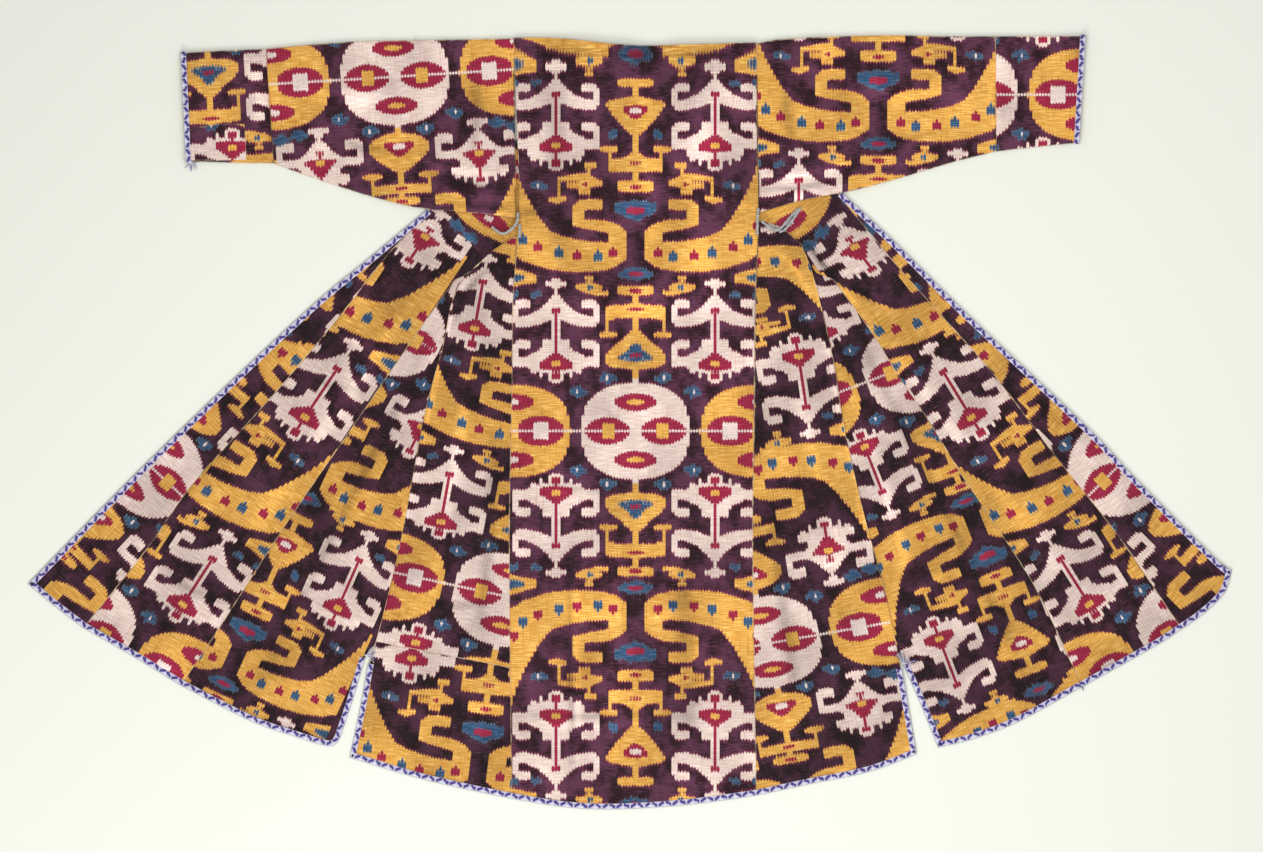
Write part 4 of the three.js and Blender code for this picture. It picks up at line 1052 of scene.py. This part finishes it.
BRAID_SECTION = [(0.4, 0.3), (-0.6, 1.1), (-0.6, 2.9), (0.4, 3.9), (3.0, 4.1), (5.6, 4.1), (8.0, 3.9),
                 (8.7, 3.3), (8.3, 2.6)]  # inward from the edge and up, in millimetres
BRAID_PITCH = 0.0022  # spacing of the rings along the braid
ZIGZAG = 0.0225  # length of one zigzag of the weave
OVER_GORE = 0.0027  # height of the back's hem where it lies on the front's side gore
HEM_MIDDLE = (-189, 202)  # the back's lower corners, between which its hem lies on the table
CURVE_STEPS = 24  # steps to each span of a smooth line


def curve(rows, spacing=BRAID_PITCH):
    """Points at even spacing along a smooth line through the places given in millimetres."""
    knots = np.array(rows, float) * MM
    knots = np.vstack([knots[:1], knots, knots[-1:]])
    fine = []
    for a, b, c, d in zip(knots, knots[1:], knots[2:], knots[3:]):
        slope_b, slope_c = (c - a) / 2, (d - b) / 2
        cube, square = 2 * b - 2 * c + slope_b + slope_c, 3 * c - 3 * b - 2 * slope_b - slope_c
        for t in np.arange(CURVE_STEPS) / CURVE_STEPS:
            fine.append(cube * t**3 + square * t**2 + slope_b * t + b)
    fine = np.array(fine + [knots[-1]])
    run = lengths(fine)
    even = np.linspace(0, run[-1], max(int(run[-1] / spacing), 2) + 1)
    return np.column_stack([np.interp(even, run, fine[:, k]) for k in range(fine.shape[1])])


def chain(*lines):
    """Several edges run together into one line."""
    points = lines[0]
    for line in lines[1:]:
        points = np.vstack([points, line[1:] if np.hypot(*(line[0] - points[-1])[:2]) < MM else line])
    return points


def miters(line, inward):
    """Direction from the edge to the middle of the cloth at each point, longer at a corner."""
    side = np.diff(line[:, :2], axis=0)
    side /= np.maximum(np.hypot(*side.T), 1e-9)[:, None]
    normal = inward * np.column_stack([-side[:, 1], side[:, 0]])
    first, last = np.vstack([normal[:1], normal]), np.vstack([normal, normal[-1:]])
    return (first + last) / np.maximum(1 + np.sum(first * last, axis=1), 0.5)[:, None]


def sweep(name, node, material, rings, closed_ends=True):
    """A closed strip or tube through rings of points, with its place along and around as a map."""
    mesh = bmesh.new()
    strip = mesh.loops.layers.uv.new("strip")
    rows = [[mesh.verts.new(p) for p in ring] for ring in rings]
    count = len(rings[0])
    run = lengths([np.mean(ring, axis=0) for ring in rings])
    for k in range(len(rows) - 1):
        for j in range(count):
            corners = [rows[k][j], rows[k][(j + 1) % count], rows[k + 1][(j + 1) % count], rows[k + 1][j]]
            face = mesh.faces.new(corners)
            for loop, (a, b) in zip(face.loops, ((j, k), (j + 1, k), (j + 1, k + 1), (j, k + 1))):
                loop[strip].uv = (a / count, run[b])
    if closed_ends:
        mesh.faces.new(rows[0][::-1])
        mesh.faces.new(rows[-1])
    else:
        bmesh.ops.remove_doubles(mesh, verts=mesh.verts, dist=1e-6)
    bmesh.ops.recalc_face_normals(mesh, faces=mesh.faces[:])
    return sewn(mesh, name, node, material), run[-1]


def smooth(x, low, high):
    """Rises softly from 0 at the low end to 1 at the high end."""
    share = np.clip((x - low) / (high - low), 0, 1)
    return share * share * (3 - 2 * share)


def lift_of_gore(point, inward):
    """Height of the back gore's hem over the surface, where it lies on the front's side gore."""
    x, y = point[0] / MM, point[1] / MM
    if HEM_MIDDLE[0] < x < HEM_MIDDLE[1]:
        return 0.0
    near_slit = (1 - smooth(inward / MM, 26, 70)) * smooth(y, -470, -392)
    return OVER_GORE * max(near_slit, smooth(y, 150, 205))


def braid(name, node, line, inward, lift=lambda point, inside: 0.0):
    """The braid along one edge, on the side of the cloth, raised where the edge is."""
    rings = []
    for point, way in zip(line, miters(line, inward)):
        places = [(point[:2] + way * a * MM, lift(point, a * MM) + z * MM) for a, z in BRAID_SECTION]
        rings.append([(*flat, height) for flat, height in places])
    piece, length = sweep(name, node, BRAID, rings)


def braid_material():
    """White silk, with an indigo zigzag where the tape shows from above and greyer underneath."""
    material, n, shader = finish("woven braid", 0.3)
    strip = n.map("strip")
    place = n.parts(strip)
    wobble = n.times(n.less(n.grain(strip, 3, 240), 0.5), 0.25)
    across = n.plus(n.math("MULTIPLY_ADD", place[0], 2.0, -0.75), wobble)
    motif = n.plus(n.times(place[1], 1 / ZIGZAG), wobble)
    swing = n.times(n.math("PINGPONG", motif, 0.5), 2.0)
    off = n.math("ABSOLUTE", n.less(across, n.math("MULTIPLY_ADD", swing, 0.62, 0.0)))
    indigo = n.less(1.0, n.ramp(off, 0.17, 0.28))
    middle = n.less(1.0, n.ramp(n.math("ABSOLUTE", n.less(swing, 0.5)), 0.34, 0.44))
    colour = n.mix(n.ramp(off, 0.42, 0.6), ink("#c3bfd6"), ink("#e9e8f2"))
    colour = n.mix(n.times(indigo, middle), colour, ink("#483c82"))
    colour = n.mix(n.ramp(place[0], 0.69, 0.73), colour, ink("#dccbe2"))
    colour = n.mix(n.ramp(place[0], 0.36, 0.31), colour, ink("#a9adb6"))
    n.put(shader.inputs["Base Color"], colour)
    n.relief(shader, n.plus(n.grain(strip, 40, 900, 1.0), indigo), 0.5, 0.0003)
    shader.inputs["Roughness"].default_value = 0.7
    return material


BRAID = braid_material()

left_edge = curve([(-290, 369), (-413, 266), (-528, 169), (-768, -60), (-962, -258)])
left_slit = curve([(-424, -377), (-444, -444), (-464, -504)])
LEFT_FRONT = chain(
    left_edge[len(left_edge) // 20 :],
    curve([(-962, -258), (-920, -293), (-874, -328)]),
    curve([(-874, -328), (-792, -375), (-718, -420)]),
    curve([(-718, -420), (-608, -476), (-534, -502), (-480, -517), (-464, -504)]),
    left_slit[::-1],
)
right_edge = curve([(306, 398), (418, 294), (541, 172), (731, -7), (811, -92), (936, -217), (962, -236)])
right_slit = curve([(438, -388), (465, -450), (493, -519)])
RIGHT_FRONT = chain(
    right_edge[len(right_edge) // 20 :],
    curve([(962, -236), (950, -273), (914, -308), (882, -330)]),
    curve([(882, -330), (842, -356), (731, -418), (723, -422)]),
    curve([(723, -422), (621, -478), (547, -506), (493, -519)]),
    right_slit[::-1],
)
BACK = chain(
    curve([(-418, -385), (-432, -460), (-448, -535)]),
    curve([(-448, -535), (-354, -564), (-280, -582), (-189, -601)]),
    curve([(-189, -601), (-108, -614), (-26, -618), (90, -611), (202, -596)]),
    curve([(458, -530), (382, -558), (286, -578), (202, -596)])[::-1],
    curve([(434, -393), (446, -460), (458, -530)])[::-1],
)
braid("braid_of_left_front", "braid_front_left", LEFT_FRONT, 1)
braid("braid_of_right_front", "braid_front_right", RIGHT_FRONT, -1)
braid("braid_of_back_hem", "braid_back", BACK, 1, lift_of_gore)

CUFF_COVER = 0.0013  # how far the ring of braid stands outside the sleeve
CUFF_SECTION = [(0.4, -0.7), (-0.6, -0.4), (-0.6, 0.5), (0.4, 1.0), (3.0, 1.1), (5.6, 1.1), (8.0, 1.0),
                (8.7, 0.3), (8.3, -0.7)]  # inward from the edge, and out from the sleeve in CUFF_THICK
CUFF_THICK = 0.0004
CUFF_RINGS = 28


def cuff_braid(side, upper, lower, inward):
    """The braid round the flat end of a sleeve, as one ring from the fold to the seam and back."""
    node = "braid_cuff_" + side
    low, high = (Vector(corner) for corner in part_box(node))
    top, under = np.array(upper) * MM, np.array(lower) * MM
    span = top - under
    length = np.hypot(*span)
    down = span / length
    way = np.array([down[1], -down[0]]) * inward
    rings = []
    for k in range(CUFF_RINGS + 1):
        angle = 2 * math.pi * k / CUFF_RINGS
        reach = length / 2 + CUFF_COVER
        flat = np.sign(math.cos(angle)) * (1 - (1 - abs(math.cos(angle))) ** 1.6)
        middle = (top + under) / 2 + down * reach * flat
        rise = math.copysign(min(1, abs(math.sin(angle)) * 2.2), math.sin(angle))
        z = (high.z + low.z) / 2 + rise * (high.z - low.z) / 2
        inner = 0.75 if abs(rise) > 0.2 else 0.5
        ring = []
        for a, out in CUFF_SECTION:
            thick = CUFF_THICK * out
            ring.append((*(middle + way * a * MM + down * flat * thick), z + rise * thick * inner))
        rings.append(ring)
    piece, run = sweep("braid_of_cuff_" + side, node, BRAID, rings, closed_ends=False)


cuff_braid("left", (-718, 591), (-710, 417), 1)
cuff_braid("right", (728, 618), (718, 447), -1)

# ---------------------------------------------------------------------------
# Thread: the overcast edges of the underarm vents, and the loose ends of the braid.
# Thick grey-white cotton, sewn round and round the vents' edges, and tufts of white and
# purple silk left hanging where the braid stops. All are fine tubes swept along a line.
# ---------------------------------------------------------------------------

# Each thread's route, in millimetres: across, up the robe and above the table.
CORDS = {
    "vent_cord_left": [
        (-179, 335, 11.9), (-180, 322, 11.9), (-188, 310, 10), (-204, 302, 6), (-221, 313, 4.5),
    ],
    "vent_edge_left": [(-176, 317, 11.9), (-176, 306, 11.9), (-177, 295, 11.9)],
    "vent_cord_right": [
        (210, 322, 11.5), (222, 313, 9.4), (237, 308, 7.4), (256, 328, 6.4), (268, 341, 5.4),
    ],
    "vent_edge_right": [(205, 342, 11.9), (204, 330, 11.9), (203, 300, 11.9)],
}
# The second round of thread on the right vent's outer side, beside the cord.
SECOND_ROUND = [(238, 305, 6.6), (247, 308, 6.4), (260, 324, 5.8), (273, 344, 5.2)]
CORD_SIDES = 10
THREAD = 0.0021  # mean radius of the overcast thread
STRAND = 0.00042  # radius of one strand of a tuft
STRAND_SIDES = 6
STRAY = 6  # degrees by which a strand strays from its place in the fan
ROOT = 1.2  # how far under the knot's height the strands start, in millimetres
KNOT_PITCH = 0.0009  # spacing of the rings along a thread or a knot
STRAND_PITCH = 0.0012
# Knot across and up, size, strands, reach, heading, spread, height of the knot and of the tips.
TUFTS = {
    "tuft_cuff_left": (-703, 416.5, 4.2, 14, 15, -72, 130, 8.6, 1.5),
    "tuft_slit_left": (-421, -372, 4, 11, 17, 15, 120, 7.3, 5.9),
    "tuft_slit_right": (438, -385, 4, 14, 21, 62, 150, 7.3, 5.9),
}


def thread_material(name, light, dark, twist):
    """Plied thread, with painted shade between its plies."""
    material, n, shader = finish(name, 0.3)
    strip = n.map("strip")
    place = n.parts(strip)
    turn = n.plus(n.times(place[1], 1 / twist), place[0])
    ply = n.math("PINGPONG", turn, 0.5)
    lit = n.ramp(n.plus(ply, n.grain(strip, 2, 500)), 0.55, 1.1)
    n.put(shader.inputs["Base Color"], n.mix(lit, ink(dark), ink(light)))
    n.relief(shader, ply, 0.8, 0.0006)
    shader.inputs["Roughness"].default_value = 0.75
    return material


def tube(line, radius, sides=CORD_SIDES):
    """Rings of points round a line, with one radius or one for each point."""
    sizes = np.broadcast_to(radius, len(line)).tolist()
    angles = [2 * math.pi * k / sides for k in range(sides)]
    rings = []
    for point, way, size in zip(line, np.gradient(line, axis=0), sizes):
        aim = Vector(way).normalized()
        across = aim.cross(Vector((0, 0, 1))).normalized()
        up = across.cross(aim)
        around = [math.cos(a) * across + math.sin(a) * up for a in angles]
        rings.append([tuple(Vector(point) + size * out) for out in around])
    return rings


COTTON = thread_material("overcast cotton", "#d3d2cc", "#8c9196", 0.0016)
WHITE_SILK = thread_material("white silk ends", "#e8e6ee", "#b9b5c9", 0.002)
PURPLE_SILK = thread_material("purple silk ends", "#7a6fae", "#463b80", 0.002)


def overcast(name, node, rows):
    """Thick thread sewn round and round an edge, a little uneven from turn to turn."""
    line = curve(rows, KNOT_PITCH)
    place = np.arange(len(line))
    wraps = THREAD + 0.0004 * np.sin(place * 2.1) + 0.0003 * np.sin(place * 0.63)
    sweep(name, node, COTTON, tube(line, wraps))


for name, rows in CORDS.items():
    overcast("overcast_" + name, name, rows)
overcast("overcast_vent_cord_right_second", "vent_cord_right", SECOND_ROUND)

for name, (x, y, size, strands, reach, heading, spread, height, low) in TUFTS.items():
    dice = random.Random(name)
    root = height - ROOT
    for k in range(strands):
        angle = math.radians(heading + spread * ((k + 0.5) / strands - 0.5) + dice.uniform(-STRAY, STRAY))
        bend = dice.uniform(-0.5, 0.5)
        far = reach * dice.uniform(0.7, 1.05)
        rows = [(x, y, root)]
        for share in (0.35, 0.7, 1.0):
            turn, out = angle + bend * share, far * share
            rows.append((x + out * math.cos(turn), y + out * math.sin(turn), root + (low - root) * share))
        silk = PURPLE_SILK if k % 3 == 1 else WHITE_SILK
        strand = tube(curve(rows, STRAND_PITCH), STRAND, STRAND_SIDES)
        sweep(f"{name}_strand_{k + 1}", name, silk, strand)
    knot = [(x + size * k, y, height - drop) for k, drop in ((-1, 1.5), (-1 / 3, 1), (1 / 3, 1), (1, 1.5))]
    line = curve(knot, KNOT_PITCH)
    swell = 0.0005 + 0.0013 * np.sin(np.pi * np.linspace(0.02, 0.98, len(line)))
    sweep(name + "_knot", name, WHITE_SILK, tube(line, swell))

# ---------------------------------------------------------------------------
# Camera, light and floor.
# The robe lies on a pale board and is seen from straight above, through a long lens. A soft
# light stands low beyond the hem, a weaker one hangs over the robe, and the room is white.
# ---------------------------------------------------------------------------

FRAME_WIDE = 1263 * STEP  # width of the board that is seen
FRAME_MIDDLE = (631.5, 426)  # its middle on the layout grid
HEIGHT = 6.0
SENSOR = 36
BOARD = 60  # size of the board, so that its edge never shows
UNDER = 0.0004  # how far the board lies under the robe

camera = bpy.data.objects.new("camera", bpy.data.cameras.new("camera"))
camera.data.sensor_width = SENSOR
camera.data.lens = SENSOR * HEIGHT / FRAME_WIDE
camera.location = (*at(*FRAME_MIDDLE), HEIGHT)
bpy.context.collection.objects.link(camera)
bpy.context.scene.camera = camera

bpy.ops.mesh.primitive_plane_add(size=BOARD)
floor = bpy.context.object
floor.name = "floor"
for v in floor.data.vertices:
    v.co.z = -UNDER
paper, _, shader = finish("pale board", 0.5)
shader.inputs["Base Color"].default_value = ink("#eef0e5")
shader.inputs["Roughness"].default_value = 0.9
floor.data.materials.append(paper)

world = bpy.data.worlds.new("studio")
world.use_nodes = True
sky = world.node_tree.nodes["Background"].inputs
sky["Color"].default_value = (1.0, 1.0, 0.99, 1)
sky["Strength"].default_value = 0.6
bpy.context.scene.world = world


def lamp(name, place, size, power, aim):
    """A soft square light that points at a place on the table."""
    light = bpy.data.lights.new(name, "AREA")
    light.shape, light.size, light.energy = "SQUARE", size, power
    thing = bpy.data.objects.new(name, light)
    thing.location = place
    thing.rotation_euler = (Vector(aim) - Vector(place)).to_track_quat("-Z", "Y").to_euler()
    bpy.context.collection.objects.link(thing)


lamp("key", (-0.7, -2.6, 2.2), 1.4, 47, (0, 0, 0))
lamp("over the table", (0.3, 0.2, 2.0), 1.6, 14, (0.3, 0.2, 0))
bpy.context.scene.view_settings.view_transform = "Standard"
